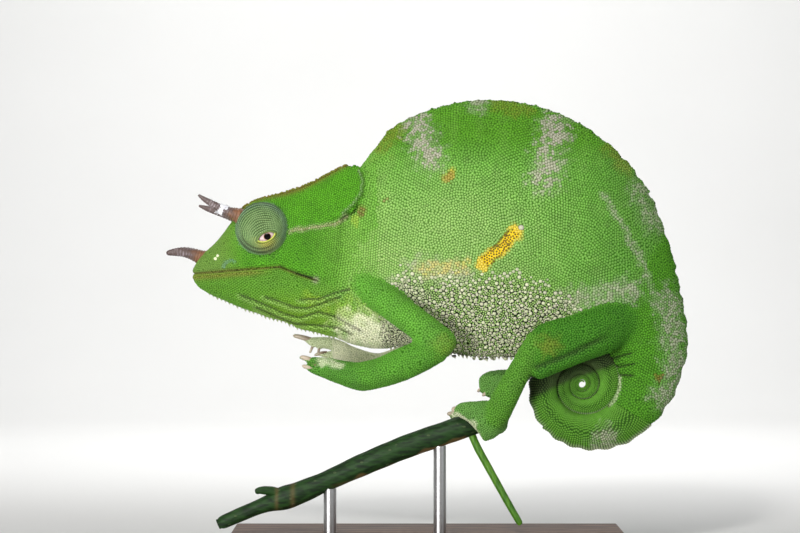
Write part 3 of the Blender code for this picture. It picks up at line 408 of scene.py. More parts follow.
@dataclass(frozen=True)
class ScaleFinish:
    """Granular scales: painted shade at the rim, a painted highlight and a little gloss on the crown.
    """

    # Colours of the painted shade at each scale's rim and of the painted highlight on its crown.
    rim: Colour = (0.28, 0.32, 0.22)
    frost: Colour = (0.74, 0.84, 0.42)
    dim: Colour = (0.45, 0.5, 0.4)
    roughness: float = 0.5
    gloss: float = 0.12

    def material(self) -> bpy.types.Material:
        """Build the finish."""
        shader = Shader("granular scales")
        crown = shader.amount("crown")
        colour = hide_colour(shader)
        tone = shader.amount("tone")
        darker = shader.mix(colour, self.dim, 1.0, "MULTIPLY")
        colour = shader.mix(colour, darker, tone.clamped())
        # Painted highlight on each scale's crown.
        colour = shader.mix(colour, self.frost, shader.amount("frost") * crown ** 2.0)
        # Painted shade on each scale's rim, less on cream scales and near black where the gaps are
        # painted deep.
        rim = shader.mix(colour, self.rim, 1 - shader.amount(Pigment.CREAM.label) * 0.6, "MULTIPLY")
        rim = shader.mix(rim, Pigment.DUSK.value, shader.amount("gap_depth"))
        colour = shader.mix(rim, colour, crown.step(0.0, 0.75))
        rough = shader.noise(0.4, 2.0) * 0.25 + self.roughness - 0.1
        normal = shader.bump(shader.noise(0.16, 2.0), 0.02)
        return shader.dress(Base_Color=colour, Roughness=rough, Normal=normal,
                            Specular_IOR_Level=self.gloss)


@dataclass(frozen=True)
class HornFinish:
    """Ringed keratin, brown at the root and pinkish grey with pale rings further out."""

    root: Colour = (0.23, 0.105, 0.05)
    shaft: Colour = (0.095, 0.062, 0.055)
    pale: Colour = (0.30, 0.25, 0.27)
    tip: Colour = (0.07, 0.04, 0.035)

    def material(self) -> bpy.types.Material:
        """Build the finish."""
        shader = Shader("ringed horn")
        along = shader.amount("along")
        ring = shader.amount("ring")
        streaks = shader.noise(1.4, 4.0)
        colour = shader.mix(self.root, self.shaft, (along + streaks * 0.3).step(0.3, 0.65))
        belt = along.step(0.3, 0.5) * (1 - along.step(0.72, 0.9))
        colour = shader.mix(colour, self.pale, belt * ring * streaks.step(0.35, 0.7))
        colour = shader.mix(colour, self.tip, along.step(0.9, 1.05) * 0.5)
        normal = shader.bump(shader.noise(0.25, 3.0), 0.04)
        return shader.dress(Base_Color=colour, Roughness=streaks * 0.2 + 0.3, Normal=normal)


@dataclass(frozen=True)
class ClawFinish:
    """Blunt tan claws with a darker worn tip."""

    root: Colour = (0.22, 0.14, 0.08)
    tip: Colour = (0.46, 0.38, 0.28)
    stain: Colour = (0.14, 0.08, 0.05)

    def material(self) -> bpy.types.Material:
        """Build the finish."""
        shader = Shader("claw")
        colour = shader.mix(self.root, self.tip, shader.amount("along").step(0.15, 0.7))
        colour = shader.mix(colour, self.stain, shader.noise(0.9, 3.0).step(0.55, 0.75) * 0.6)
        return shader.dress(Base_Color=colour, Roughness=0.38,
                            Normal=shader.bump(shader.noise(0.3, 3.0), 0.04))


@dataclass(frozen=True)
class EyeFinish:
    """A wet eyeball: black pupil, thin amber ring and a pale pink iris."""

    pupil_place: Place = (-59.3, 118.15)
    pupil: float = 1.26
    white: Colour = (0.62, 0.47, 0.46)
    vein: Colour = (0.52, 0.34, 0.33)
    amber: Colour = (0.28, 0.13, 0.06)
    black: Colour = (0.004, 0.003, 0.003)

    def material(self) -> bpy.types.Material:
        """Build the finish."""
        shader = Shader("wet eye")
        across = shader.axis("X") - self.pupil_place[0]
        up = shader.axis("Z") - self.pupil_place[1]
        away = (across * across + up * up) ** 0.5
        veins = shader.noise(0.7, 4.0)
        colour = shader.mix(self.white, self.vein, veins.step(0.5, 0.75))
        colour = shader.mix(colour, self.amber, 1 - away.step(self.pupil, self.pupil + 0.3))
        colour = shader.mix(colour, self.black,
                            1 - away.step(self.pupil - 0.12, self.pupil + 0.04))
        return shader.dress(Base_Color=colour, Roughness=0.1, Specular_IOR_Level=0.12)


@dataclass(frozen=True)
class LidFinish:
    """The rolled rim of the lids: green outside, yellow inside, dark where it meets the eye."""

    upper: Colour = (0.10, 0.17, 0.05)
    lower: Colour = (0.17, 0.21, 0.03)
    yellow: Colour = (0.62, 0.66, 0.11)
    dark: Colour = (0.012, 0.014, 0.006)

    def material(self) -> bpy.types.Material:
        """Build the finish."""
        shader = Shader("lid rim")
        inward = shader.amount("inward")
        colour = shader.mix(self.upper, self.lower, shader.amount("lower"))
        rim = inward.step(0.5, 0.62) * (0.12 + shader.amount("lower") * 0.88)
        colour = shader.mix(colour, self.yellow, rim)
        colour = shader.mix(colour, self.dark, inward.step(0.86, 0.97))
        return shader.dress(Base_Color=colour, Roughness=0.45, Specular_IOR_Level=0.2,
                            Normal=shader.bump(shader.cells(0.3), 0.05))


@dataclass(frozen=True)
class ShedFinish:
    """A scrap of shed skin, papery and white."""

    light: Colour = (0.86, 0.86, 0.9)
    shade: Colour = (0.55, 0.52, 0.6)

    def material(self) -> bpy.types.Material:
        """Build the finish."""
        shader = Shader("shed skin")
        colour = shader.mix(self.light, self.shade, shader.noise(0.8, 3.0).step(0.5, 0.8))
        return shader.dress(Base_Color=colour, Roughness=0.55,
                            Normal=shader.bump(shader.noise(0.35, 3.0), 0.08))


@dataclass(frozen=True)
class BarkFinish:
    """Dark green stem skin with fine fibres, pale lenticels and scuffed brown ridges."""

    green: Colour = (0.016, 0.052, 0.010)
    dark: Colour = (0.006, 0.018, 0.005)
    scuff: Colour = (0.13, 0.085, 0.03)
    patch: Colour = (0.02, 0.06, 0.012)
    spot: Colour = (0.06, 0.09, 0.035)

    def material(self) -> bpy.types.Material:
        """Build the finish."""
        shader = Shader("stem bark")
        fibres = shader.noise(1.1, 4.0, (0.22, 1.0, 1.0))
        patches = shader.noise(7.0, 3.0)
        colour = shader.mix(self.dark, self.green, fibres.step(0.35, 0.65))
        colour = shader.mix(colour, self.patch, patches.step(0.5, 0.8) * 0.7)
        spots = 1 - shader.cells(2.6, (0.6, 1.0, 1.0)).step(0.12, 0.2)
        colour = shader.mix(colour, self.spot, spots * 0.7)
        colour = shader.mix(colour, self.scuff, shader.amount("scuff"))
        height = fibres * 0.7 + spots * 0.5 + shader.noise(0.4, 3.0) * 0.3
        return shader.dress(Base_Color=colour, Roughness=patches * 0.25 + 0.45,
                            Specular_IOR_Level=0.25, Normal=shader.bump(height, 0.22))


@dataclass(frozen=True)
class TwigFinish:
    """The young side shoot, bright green and waxy."""

    dark: Colour = (0.035, 0.13, 0.004)
    light: Colour = (0.09, 0.24, 0.01)

    def material(self) -> bpy.types.Material:
        """Build the finish."""
        shader = Shader("green twig")
        fibres = shader.noise(0.9, 4.0, (1.0, 1.0, 0.15))
        colour = shader.mix(self.dark, self.light, fibres.step(0.3, 0.7))
        return shader.dress(Base_Color=colour, Roughness=fibres * 0.2 + 0.3,
                            Normal=shader.bump(fibres, 0.12))


@dataclass(frozen=True)
class WalnutFinish:
    """Oiled walnut with grain along the base."""

    light: Colour = (0.17, 0.085, 0.042)
    dark: Colour = (0.052, 0.022, 0.011)
    pore: Colour = (0.02, 0.009, 0.005)

    def material(self) -> bpy.types.Material:
        """Build the finish."""
        shader = Shader("oiled walnut")
        warp = shader.noise(30.0, 3.0, (0.35, 1.0, 1.0))
        rings = (shader.axis("Y") * 0.9 + shader.axis("Z") * 0.5 + warp * 16.0).sine() * 0.5 + 0.5
        pores = shader.noise(0.7, 3.0, (0.06, 1.0, 1.0))
        colour = shader.mix(self.light, self.dark, rings * 0.7 + warp.step(0.4, 0.7) * 0.2)
        colour = shader.mix(colour, self.pore, pores.step(0.56, 0.68) * 0.75)
        return shader.dress(Base_Color=colour, Roughness=pores * 0.2 + 0.42,
                            Specular_IOR_Level=0.2,
                            Normal=shader.bump(1 - pores.step(0.55, 0.7), 0.05))


@dataclass(frozen=True)
class SteelFinish:
    """Brushed steel, brushed round the rod."""

    dark: Colour = (0.42, 0.42, 0.43)
    light: Colour = (0.62, 0.62, 0.62)

    def material(self) -> bpy.types.Material:
        """Build the finish."""
        shader = Shader("brushed steel")
        brush = shader.noise(0.5, 3.0, (0.15, 0.15, 3.0))
        colour = shader.mix(self.dark, self.light, brush)
        return shader.dress(Base_Color=colour, Metallic=1.0, Roughness=brush * 0.2 + 0.22,
                            Normal=shader.bump(brush, 0.02))


@dataclass(frozen=True)
class FloorFinish:
    """A pale matt studio floor."""

    tone: Colour = (0.74, 0.74, 0.73)
    shade: Colour = (0.7, 0.7, 0.69)

    def material(self) -> bpy.types.Material:
        """Build the finish."""
        shader = Shader("studio floor")
        colour = shader.mix(self.tone, self.shade, shader.noise(160.0, 2.0))
        return shader.dress(Base_Color=colour, Roughness=0.75)


def vertex_normals(points: Array, triangles: Array) -> Array:
    """Average the triangles' normals at each point, weighted by area."""
    corners = points[triangles]
    faces = np.cross(corners[:, 1] - corners[:, 0], corners[:, 2] - corners[:, 0])
    total = np.empty_like(points)
    for axis in range(3):
        weights = np.repeat(faces[:, axis], 3)
        total[:, axis] = np.bincount(triangles.ravel(), weights, minlength=len(points))
    return unit(total)


class Surface:
    """A triangle surface in millimetres, with ways to find places on it."""

    def __init__(self, points: Array, triangles: Array) -> None:
        """Keep the surface and work out its normals and search tree."""
        self.points = points
        self.triangles = triangles
        self.normals = vertex_normals(points, triangles)
        self.tree = BVHTree.FromPolygons(points.tolist(), triangles.tolist())

    def settle(self, points: Array) -> tuple[Array, Array]:
        """Move points to the nearest places on the surface; also return their triangles."""
        found = [self.tree.find_nearest(Vector(point)) for point in points]
        places = np.array([place[0] for place in found])
        return places, np.array([place[2] for place in found])

    def normals_at(self, triangles: Array) -> Array:
        """Return smooth normals in the middle of triangles."""
        return unit(self.normals[self.triangles[triangles]].mean(axis=1))

    def hit(self, start: Sequence[float], way: Sequence[float], reach: float) -> Array | None:
        """Return the first place that a ray meets, or None."""
        place = self.tree.ray_cast(Vector(start), Vector(way), reach)[0]
        return None if place is None else np.array(place)


def mesh_from(name: str, points: Array, faces: Iterable[Sequence[int]],
              smooth: bool = True, **amounts: Array) -> bpy.types.Mesh:
    """Make a mesh in metres.

    Args:
        name: The mesh's name.
        points: Places in millimetres.
        faces: Corners of each face.
        smooth: Whether the faces are shaded smooth.
        **amounts: Numbers for each point, kept as attributes.

    Returns:
        The mesh.
    """
    mesh = bpy.data.meshes.new(name)
    rows = faces.tolist() if isinstance(faces, np.ndarray) else list(faces)
    mesh.from_pydata((np.asarray(points) * MM).tolist(), [], rows)
    mesh.shade_smooth() if smooth else mesh.shade_flat()
    keep_amounts(mesh, amounts)
    return mesh


def keep_amounts(mesh: bpy.types.Mesh, amounts: dict[str, Array]) -> None:
    """Store numbers, whole numbers or vectors for each point of a mesh."""
    for name, values in amounts.items():
        values = np.asarray(values)
        if values.ndim == 2:
            kind, key = "FLOAT_VECTOR", "vector"
        elif values.dtype.kind == "i":
            kind, key = "INT", "value"
        else:
            kind, key = "FLOAT", "value"
        values = values.astype(np.int32 if kind == "INT" else np.float32)
        mesh.attributes.new(name, kind, "POINT").data.foreach_set(key, values.ravel())


def linked(name: str, data: bpy.types.ID) -> bpy.types.Object:
    """Make an object and link it to the scene."""
    made = bpy.data.objects.new(name, data)
    bpy.context.scene.collection.objects.link(made)
    return made


def show(name: str, mesh: bpy.types.Mesh, material: bpy.types.Material,
         slot: str, nodes: Sequence[str] = ()) -> bpy.types.Object:
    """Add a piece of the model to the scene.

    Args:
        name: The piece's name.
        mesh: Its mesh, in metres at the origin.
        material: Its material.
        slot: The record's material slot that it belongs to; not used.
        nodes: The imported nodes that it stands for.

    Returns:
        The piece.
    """
    piece = linked(name, mesh)
    mesh.materials.clear()
    mesh.materials.append(material)
    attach(piece, BODY)
    if nodes:
        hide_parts(*nodes)
    mesh.calc_loop_triangles()
    LOG.info("%s: %d triangles", name, len(mesh.loop_triangles))
    return piece


def evaluated(mesh: bpy.types.Mesh, add: Callable[[bpy.types.Object], None]) -> bpy.types.Mesh:
    """Return a plain mesh of what modifiers make of a mesh.

    Args:
        mesh: The starting mesh, which is removed.
        add: Adds the modifiers to the object it is given.

    Returns:
        The finished mesh.
    """
    holder = linked(mesh.name + "_holder", mesh)
    add(holder)
    graph = bpy.context.evaluated_depsgraph_get()
    made = bpy.data.meshes.new_from_object(holder.evaluated_get(graph), depsgraph=graph)
    bpy.data.objects.remove(holder)
    bpy.data.meshes.remove(mesh)
    return made


def arrays_of(mesh: bpy.types.Mesh) -> tuple[Array, Array]:
    """Return a mesh's points in millimetres and its triangles."""
    points = np.empty(len(mesh.vertices) * 3)
    mesh.vertices.foreach_get("co", points)
    mesh.calc_loop_triangles()
    triangles = np.empty(len(mesh.loop_triangles) * 3, dtype=np.int64)
    mesh.loop_triangles.foreach_get("vertices", triangles)
    return points.reshape(-1, 3) / MM, triangles.reshape(-1, 3)


def course(table: Sequence[Sequence[float]], count: int) -> Array:
    """Run a smooth curve through the rows of a table, evenly by length."""
    rows = np.array(table, dtype=float)
    padded = np.vstack([2 * rows[0] - rows[1], rows, 2 * rows[-1] - rows[-2]])
    lengths = np.linalg.norm(np.diff(rows[:, :-1], axis=0), axis=1)
    ends = np.concatenate([[0.0], np.cumsum(lengths)])
    made = []
    for place in np.linspace(0.0, ends[-1], count):
        index = min(int(np.searchsorted(ends, place, side="right")) - 1, len(lengths) - 1)
        t = (place - ends[index]) / lengths[index]
        before, first, second, after = padded[index:index + 4]
        made.append(0.5 * (2 * first + (second - before) * t
                           + (2 * before - 5 * first + 4 * second - after) * t ** 2
                           + (3 * first - before - 3 * second + after) * t ** 3))
    return np.array(made)


def frames_along(path: Array) -> tuple[Array, Array, Array]:
    """Return the tangent and two crossways directions at each point of a path, untwisted."""
    tangents = unit(np.gradient(path, axis=0))
    first = np.cross(tangents[0], (0.0, 1.0, 0.0))
    if np.linalg.norm(first) < 0.2:
        first = np.cross(tangents[0], (0.0, 0.0, 1.0))
    sides = []
    for tangent in tangents:
        first = first - tangent * (first @ tangent)
        first = first / np.linalg.norm(first)
        sides.append(first)
    sides = np.array(sides)
    return tangents, sides, np.cross(tangents, sides)


def tube(path: Array, radii: Array, sides: int) -> tuple[Array, list, Array]:
    """Sweep a ring along a path and cap both ends.

    Args:
        path: Centres in millimetres.
        radii: Radius for each centre, or for each centre and side.
        sides: Points round a ring.

    Returns:
        Points, faces and each point's share of the way along.
    """
    _, first, second = frames_along(path)
    turns = np.linspace(0, 2 * math.pi, sides, endpoint=False)
    radii = np.asarray(radii, dtype=float)
    if radii.ndim == 1:
        radii = radii[:, None]
    rays = (first[:, None] * np.cos(turns)[:, None] + second[:, None] * np.sin(turns)[:, None])
    points = (path[:, None] + rays * np.broadcast_to(radii, (len(path), sides))[..., None])
    points = points.reshape(-1, 3)
    rings = len(path)
    faces = grid_faces(rings, sides)
    share = np.concatenate([np.repeat(np.linspace(0, 1, rings), sides), [0.0, 1.0]])
    points = np.vstack([points, path[0], path[-1]])
    root, tip = len(points) - 2, len(points) - 1
    last = (rings - 1) * sides
    for side in range(sides):
        beside = (side + 1) % sides
        faces.append((root, beside, side))
        faces.append((tip, last + side, last + beside))
    return points, faces, share


def joined(parts: Sequence[tuple[Array, list, dict[str, Array]]]) -> tuple[Array, list, dict]:
    """Join several shapes with the same attributes into one."""
    points, faces, amounts = [], [], {}
    start = 0
    for part_points, part_faces, part_amounts in parts:
        points.append(part_points)
        faces.extend(tuple(corner + start for corner in face) for face in part_faces)
        for name, values in part_amounts.items():
            amounts.setdefault(name, []).append(values)
        start += len(part_points)
    return np.vstack(points), faces, {name: np.concatenate(rows) for name, rows in amounts.items()}


@dataclass(frozen=True)
class Coil:
    """The flat spiral of the tail, whose rim halves its radius with every turn."""

    x: float = 57.6
    z: float = 63.0
    rim: float = 19.1
    flare: float = 9.6
    fade: float = 45.0
    gap: float = -0.32
    root_width: float = 6.4
    end: float = 1400.0
    tip: float = 90.0
    tip_share: float = 0.4
    scallop: float = 0.6
    scallop_start: float = 44.0
    scallop_end: float = 252.0
    bend_end: float = 132.0
    bend_step: float = 16.0
    coil_step: float = 20.0
    press: float = 0.9
    press_angle: float = 345.0
    press_width: float = 55.0
    scale_depth: float = 0.16
    squareness: float = 0.82

    def own(self, angle: Array) -> Array:
        """Return the rim's distance from the centre."""
        return self.rim * 2.0 ** (-(angle - 180.0) / 360.0)

    def middle(self, angle: Array) -> tuple[Array, Array, Array]:
        """Return the radius of the middle line, the half height and the half width."""
        angle = np.asarray(angle, dtype=float)
        steps = np.where(angle < self.bend_end, (angle - self.scallop_start) / self.bend_step,
                         (angle - self.bend_end) / self.coil_step)
        waves = np.sin(np.pi * steps) ** 2
        waves = self.scallop * waves * (angle < self.scallop_end) * (angle > self.scallop_start)
        outer = self.own(angle) + self.flare * np.exp(-angle / self.fade) + waves
        outer = outer + self.press * bell(angle - self.press_angle, self.press_width)
        inner = self.own(angle + 360.0) + self.gap
        wide = 0.5 * (self.own(angle) - inner)
        start = 0.5 * (self.own(0.0) - self.own(360.0) - self.gap)
        wide = wide + np.maximum(0.0, 1 - angle / 180.0) ** 2 * (self.root_width - start)
        shrink = self.tip_share + (1 - self.tip_share) * np.clip((self.end - angle) / self.tip, 0, 1)
        return 0.5 * (outer + inner), 0.5 * (outer - inner) * shrink, wide * shrink

    def place(self, angle: Array, turn: Array, depth: Array) -> tuple[Array, Array]:
        """Return points of the tail's surface and the way outward.

        Args:
            angle: Degrees along the coil.
            turn: Radians round the tail, from the rim towards the animal's right side.
            depth: How far inside the surface, in millimetres.

        Returns:
            Points and unit normals.
        """
        middle, high, wide = self.middle(angle)
        spoke = np.radians(angle)
        out = np.stack([np.cos(spoke), np.zeros_like(spoke), -np.sin(spoke)], axis=-1)
        up = np.sign(np.cos(turn)) * np.abs(np.cos(turn)) ** self.squareness
        side = np.sign(np.sin(turn)) * np.abs(np.sin(turn)) ** self.squareness
        radius = middle + (high - depth) * up
        points = out * radius[..., None] + np.array([self.x, 0.0, self.z])
        points[..., 1] = (wide - depth) * side
        power = 2 / self.squareness - 1
        normal = out * (np.sign(up) * np.abs(up) ** power / high)[..., None]
        normal[..., 1] = np.sign(side) * np.abs(side) ** power / wide
        return points, unit(normal)


@dataclass(frozen=True)
class Face:
    """Lines and places of the head that skin, scales and markings share."""

    mouth: tuple[Place, ...] = (
        (-89, 104.3), (-79.5, 105), (-69.4, 105.9), (-60.8, 106.5), (-55, 106.9),
        (-51.4, 105.4), (-46.9, 103.7), (-40.9, 101.8),
    )
    corner: tuple[Place, ...] = ((-54.5, 107.1), (-47.5, 104.1), (-40.5, 102.3))
    crest: tuple[Place, ...] = (
        (-52.5, 119.6), (-50.8, 120.2), (-41.6, 121.7), (-34.9, 122.8), (-30.1, 125.7),
    )
    wrinkles: tuple[tuple[Place, ...], ...] = (
        ((-47.5, 95), (-40.8, 95), (-34.6, 97.3), (-29.4, 98.7)),
        ((-60.6, 95.8), (-55.3, 94.1), (-49.6, 91.9), (-44.9, 91.6), (-40.3, 93), (-32.9, 95.9)),
        ((-69.7, 96.5), (-61.8, 93.3), (-53.3, 89.4), (-47.9, 88), (-40.6, 90.2),
         (-35.4, 88.8), (-28.7, 85), (-25, 83.1)),
        ((-64, 91.9), (-56.9, 88.6), (-49.8, 85.8), (-40.4, 85.1), (-33.6, 84.2), (-28.7, 81.9)),
    )
    lobe: tuple[Place, ...] = (
        (-25.4, 144.8), (-23.4, 139.6), (-23.8, 134.2), (-27.0, 129.6), (-30.6, 126.4),
    )
    top: tuple[Place, ...] = (
        (-69.6, 129.1), (-66.2, 132.0), (-60.4, 133.5), (-53.6, 134.6), (-48.0, 136.4),
        (-41.3, 139.7), (-35.4, 143.1), (-30.4, 145.7),
    )
    nostril: tuple[float, float, float] = (-80.9, 6.0, 109.3)
    turret: tuple[float, float, float] = (-61.9, 7.4, 121.3)
    turret_radius: float = 10.0
    lid: Place = (-59.7, 118.05)
    lid_half: Place = (3.0, 1.36)
    lid_outer: Place = (4.2, 2.1)
    lid_tilt: float = 23.7


COIL = Coil()
FACE = Face()
SHOULDER = (-14.0, 98.0)
THIGH_FOLD = ((40.1, 70.3), (50.6, 74.2), (63.3, 80.2), (70.7, 81.8))
# The thigh's lower edge over the coil, along which a shadow is painted.
THIGH_EDGE = ((36.5, 58.8), (44.6, 62.6), (54.0, 66.6), (63.5, 69.8), (70.2, 72.4))
CREASES = (((67.6, 72.3), (75.8, 74.8)), ((69.3, 69.2), (76.8, 70.8)), ((70.3, 66.6), (76.4, 66.4)),
           ((66.1, 72.9), (69.2, 77.8)), ((65.4, 73.6), (66.6, 79.0)))


@dataclass
class Hide:
    """One skin over every node of flesh, a coat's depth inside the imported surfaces."""

    nodes: dict[str, bpy.types.Object]
    voxel: float = 0.5
    swell: float = 0.2
    finish: SkinFinish = field(default_factory=SkinFinish)
    depths: tuple[tuple[str, float], ...] = (
        ("head", 0.25), ("lower_jaw", 0.25), ("eye_turret", 0.2), ("hand", 0.2), ("foot", 0.2),
        ("forearm", 0.25), ("shin", 0.25),
    )
    depth: float = 0.3
    passes: tuple[tuple[str, int], ...] = (
        ("torso", 170), ("neck", 70), ("tail_root", 90), ("head", 12), ("lower_jaw", 16),
        ("upper_arm", 24), ("thigh", 30), ("forearm", 14), ("shin", 16),
    )
    few: int = 6
    coil_step: float = 0.45
    coil_sides: int = 30
    coil_depth: float = 0.16
    surface: Surface = field(init=False)
    owner: Array = field(init=False)
    edges: Array = field(init=False)

    def _merged(self) -> tuple[Array, Array, Array]:
        """Return points and triangles of the flesh nodes to fuse, and each triangle's node."""
        points, triangles, owners, start = [], [], [], 0
        for name in FUSED:
            made = bmesh.new()
            made.from_mesh(self.nodes[name].data)
            bmesh.ops.remove_doubles(made, verts=made.verts, dist=1e-6)
            places = np.array([vertex.co for vertex in made.verts]) / MM
            made.verts.index_update()
            corners = np.array([[vertex.index for vertex in face.verts] for face in made.faces])
            made.free()
            points.append(places)
            triangles.append(corners + start)
            owners.append(np.full(len(corners), FLESH.index(name)))
            start += len(places)
        return np.vstack(points), np.vstack(triangles), np.concatenate(owners)

    def _passes(self, points: Array) -> Array:
        """Return how many times each point is smoothed; the keels of back and belly keep shape."""
        many = np.full(len(points), float(self.few))
        for prefix, count in self.passes:
            many[self.is_part(prefix)] = count
        flat = smooth_step(2.5, 9.0, np.abs(points[:, 1]))
        wide = self.is_part("torso", "neck", "tail_root")
        many[wide] = (self.few + (many - self.few) * flat)[wide]
        near = bell(self.coil_seam(points), 3.0)
        return many * (1 - near) + np.minimum(many, self.few) * near

    @staticmethod
    def coil_seam(points: Array) -> Array:
        """Return how far outside the coil's outer turn points lie, far away where there is none."""
        across, up = points[:, 0] - COIL.x, points[:, 2] - COIL.z
        away = np.hypot(across, up) - COIL.own(360.0 + np.degrees(np.arctan2(-up, across)))
        return np.where(across + up > -4.0, away, 99.0)

    def is_part(self, *prefixes: str) -> Array:
        """Tell which points belong to nodes whose names start like these."""
        return in_parts(self.owner, *prefixes)

    def node_of(self, triangle: int) -> str:
        """Return the name of the flesh node under a triangle."""
        return FLESH[self.owner[self.surface.triangles[triangle][0]]]

    def build(self) -> None:
        """Fuse, smooth and sculpt the skin."""
        points, triangles, owners = self._merged()
        tree = BVHTree.FromPolygons(points.tolist(), triangles.tolist())
        swollen = points + vertex_normals(points, triangles) * self.swell
        rough = mesh_from("rough_hide", swollen, triangles)

        def remesh(holder: bpy.types.Object) -> None:
            """Rebuild the surface from small cubes of space."""
            step = holder.modifiers.new("remesh", "REMESH")
            step.mode = "VOXEL"
            step.voxel_size = self.voxel * MM
            step.adaptivity = 0.0
        mesh = evaluated(rough, remesh)
        points, triangles = arrays_of(mesh)
        edges = np.empty(len(mesh.edges) * 2, dtype=np.int64)
        mesh.edges.foreach_get("vertices", edges)
        edges = edges.reshape(-1, 2)
        bpy.data.meshes.remove(mesh)
        nearest = [tree.find_nearest(Vector(point))[2] for point in points]
        self.owner = owners[np.array(nearest)]
        points = self._smoothed(points, edges)
        depth = np.full(len(points), self.depth)
        for prefix, value in self.depths:
            depth[self.is_part(prefix)] = value
        depth = blurred(depth + self.swell, edges, 6)
        normals = vertex_normals(points, triangles)
        points = points - normals * depth[:, None]
        points = points + normals * self._relief(points)[:, None]
        self.surface = Surface(points, triangles)
        self.edges = edges

    def _smoothed(self, points: Array, edges: Array) -> Array:
        """Smooth each point as often as its part of the body wants."""
        many = blurred(self._passes(points), edges, 12)
        for count in range(int(many.max()) + 1):
            mean = neighbour_mean(points, edges)
            share = np.clip(many - count, 0.0, 1.0)[:, None] * 0.6
            points = points + (mean - points) * share
        return points

    def _relief(self, points: Array) -> Array:
        """Return the height of folds, lips and pits at each point."""
        relief = np.zeros(len(points))
        face = self.is_part("head", "lower_jaw")
        front = face | self.is_part("neck")
        lip, _ = beside_line(points, FACE.mouth)
        groove = -0.6 * bell(lip, 0.45) + 0.22 * bell(np.abs(lip) - 1.3, 0.8)
        relief[face] += groove[face]
        slit, _ = beside_line(points, FACE.corner)
        relief[face] += (-0.7 * bell(slit - 0.2, 0.5) + 0.4 * bell(slit + 1.1, 0.8))[face]
        pit = points - np.array(FACE.nostril) * (1, 0, 1)
        pit[:, 1] = np.abs(points[:, 1]) - FACE.nostril[1]
        away = np.linalg.norm(pit, axis=1)
        relief[face] += (-0.8 * bell(away, 0.5) + 0.2 * bell(away - 1.2, 0.5))[face]
        crest, share = beside_line(points, FACE.crest)
        above = np.abs(points[:, 1]) > 4.0
        relief += 0.3 * bell(crest, 0.8) * front * above * smooth_step(0.0, 0.1, share)
        for line in FACE.wrinkles:
            fold, share = beside_line(points, line)
            ends = smooth_step(0.0, 0.15, share) * smooth_step(0.0, 0.15, 1 - share)
            relief += (-0.6 * bell(fold, 0.5) + 0.5 * bell(fold + 1.1, 0.9)) * ends * front
        lobe, _ = beside_line(points, FACE.lobe)
        relief += (0.3 * bell(lobe - 1.2, 1.0) - 0.45 * bell(lobe + 0.4, 0.6)) * above * front
        rump = self.is_part("tail_root", "tail_bend", "torso")
        for line in CREASES:
            fold, _ = beside_line(points, line)
            relief += (-0.9 * bell(fold, 0.5) + 0.3 * bell(fold + 1.2, 0.9)) * rump
        thigh, share = beside_line(points, THIGH_FOLD)
        fold = (self.is_part("thigh") | rump) * smooth_step(0.0, 0.2, 1 - share)
        relief += (-1.1 * bell(thigh, 1.2) + 0.35 * bell(thigh + 2.4, 1.2)) * fold
        around = np.hypot(points[:, 0] - SHOULDER[0], points[:, 2] - SHOULDER[1])
        ripple = np.sin(around * 2 * math.pi / 1.9 + 0.8 * Ripple(9.0, 61)(points))
        fine = self.is_part("neck", "torso")
        relief += 0.14 * ripple * bell(around - 12.0, 5.0) * fine * (points[:, 0] < SHOULDER[0] + 6)
        relief += 1.2 * bell(self.coil_seam(points) - 1.3, 1.4) * rump
        keel = bell(points[:, 1], 1.6) * smooth_step(52.0, 62.0, points[:, 0])
        relief -= 0.55 * keel * rump * np.abs(np.sin(points[:, 2] / 2.3)) ** 4
        flank = self.is_part("torso", "neck")
        soft = Ripple(17.0, SEED)(points) * 0.16 + Ripple(7.0, SEED + 1)(points) * 0.06
        relief += soft * flank * smooth_step(3.0, 9.0, np.abs(points[:, 1]))
        return relief

    def show(self, markings: "Markings", most: int) -> None:
        """Add the skin to the scene, thinned to fewer triangles than the most allowed."""
        mesh = mesh_from("hide", self.surface.points, self.surface.triangles)

        def thin(holder: bpy.types.Object) -> None:
            """Thin the mesh, less on the face than elsewhere."""
            fine = holder.vertex_groups.new(name="coarse")
            face = self.is_part("head", "lower_jaw", "eye_turret")
            fine.add(np.nonzero(~face)[0].tolist(), 1.0, "REPLACE")
            fine.add(np.nonzero(face)[0].tolist(), 0.25, "REPLACE")
            step = holder.modifiers.new("thin", "DECIMATE")
            step.ratio = min(1.0, most / len(self.surface.triangles))
            step.vertex_group = fine.name
        mesh = evaluated(mesh, thin)
        points, triangles = arrays_of(mesh)
        bpy.data.meshes.remove(mesh)
        _, found = self.surface.settle(points)
        amounts = markings.on_hide(points, found, None)
        coil, faces = self._coil()
        more = markings.on_coil(coil, None)
        rows = [*triangles.tolist(), *((np.array(face) + len(points)).tolist() for face in faces)]
        amounts = {key: np.concatenate([amounts[key], more[key]]) for key in amounts}
        mesh = mesh_from("hide", np.vstack([points, coil]), rows, **amounts)
        show("skin", mesh, self.finish.material(), "skin", FLESH)

    def coil_angles(self, step: float) -> Array:
        """Return angles along the coil at even steps of length."""
        angles = [30.0]
        while angles[-1] < COIL.end:
            middle, high, _ = (float(value) for value in COIL.middle(angles[-1]))
            angles.append(angles[-1] + math.degrees(step / (middle + 0.4 * high)))
        return np.array([*angles[:-1], COIL.end])

    def _coil(self) -> tuple[Array, list]:
        """Sweep the coiled tail, with its thick end sunk into the fused hide."""
        angles = self.coil_angles(self.coil_step)
        turns = np.linspace(0, 2 * math.pi, self.coil_sides, endpoint=False)
        points, _ = COIL.place(angles[:, None], turns[None], np.full((1, 1), self.coil_depth))
        rings, sides = len(angles), self.coil_sides
        faces = [(face[0], *face[:0:-1]) for face in grid_faces(rings, sides)]
        points = points.reshape(-1, 3)
        last = points[-sides:].mean(axis=0)
        first = points[:sides].mean(axis=0)
        for side in range(sides):
            beside = (side + 1) % sides
            faces.append((len(points), (rings - 1) * sides + beside, (rings - 1) * sides + side))
            faces.append((len(points) + 1, side, beside))
        return np.vstack([points, last, first]), faces


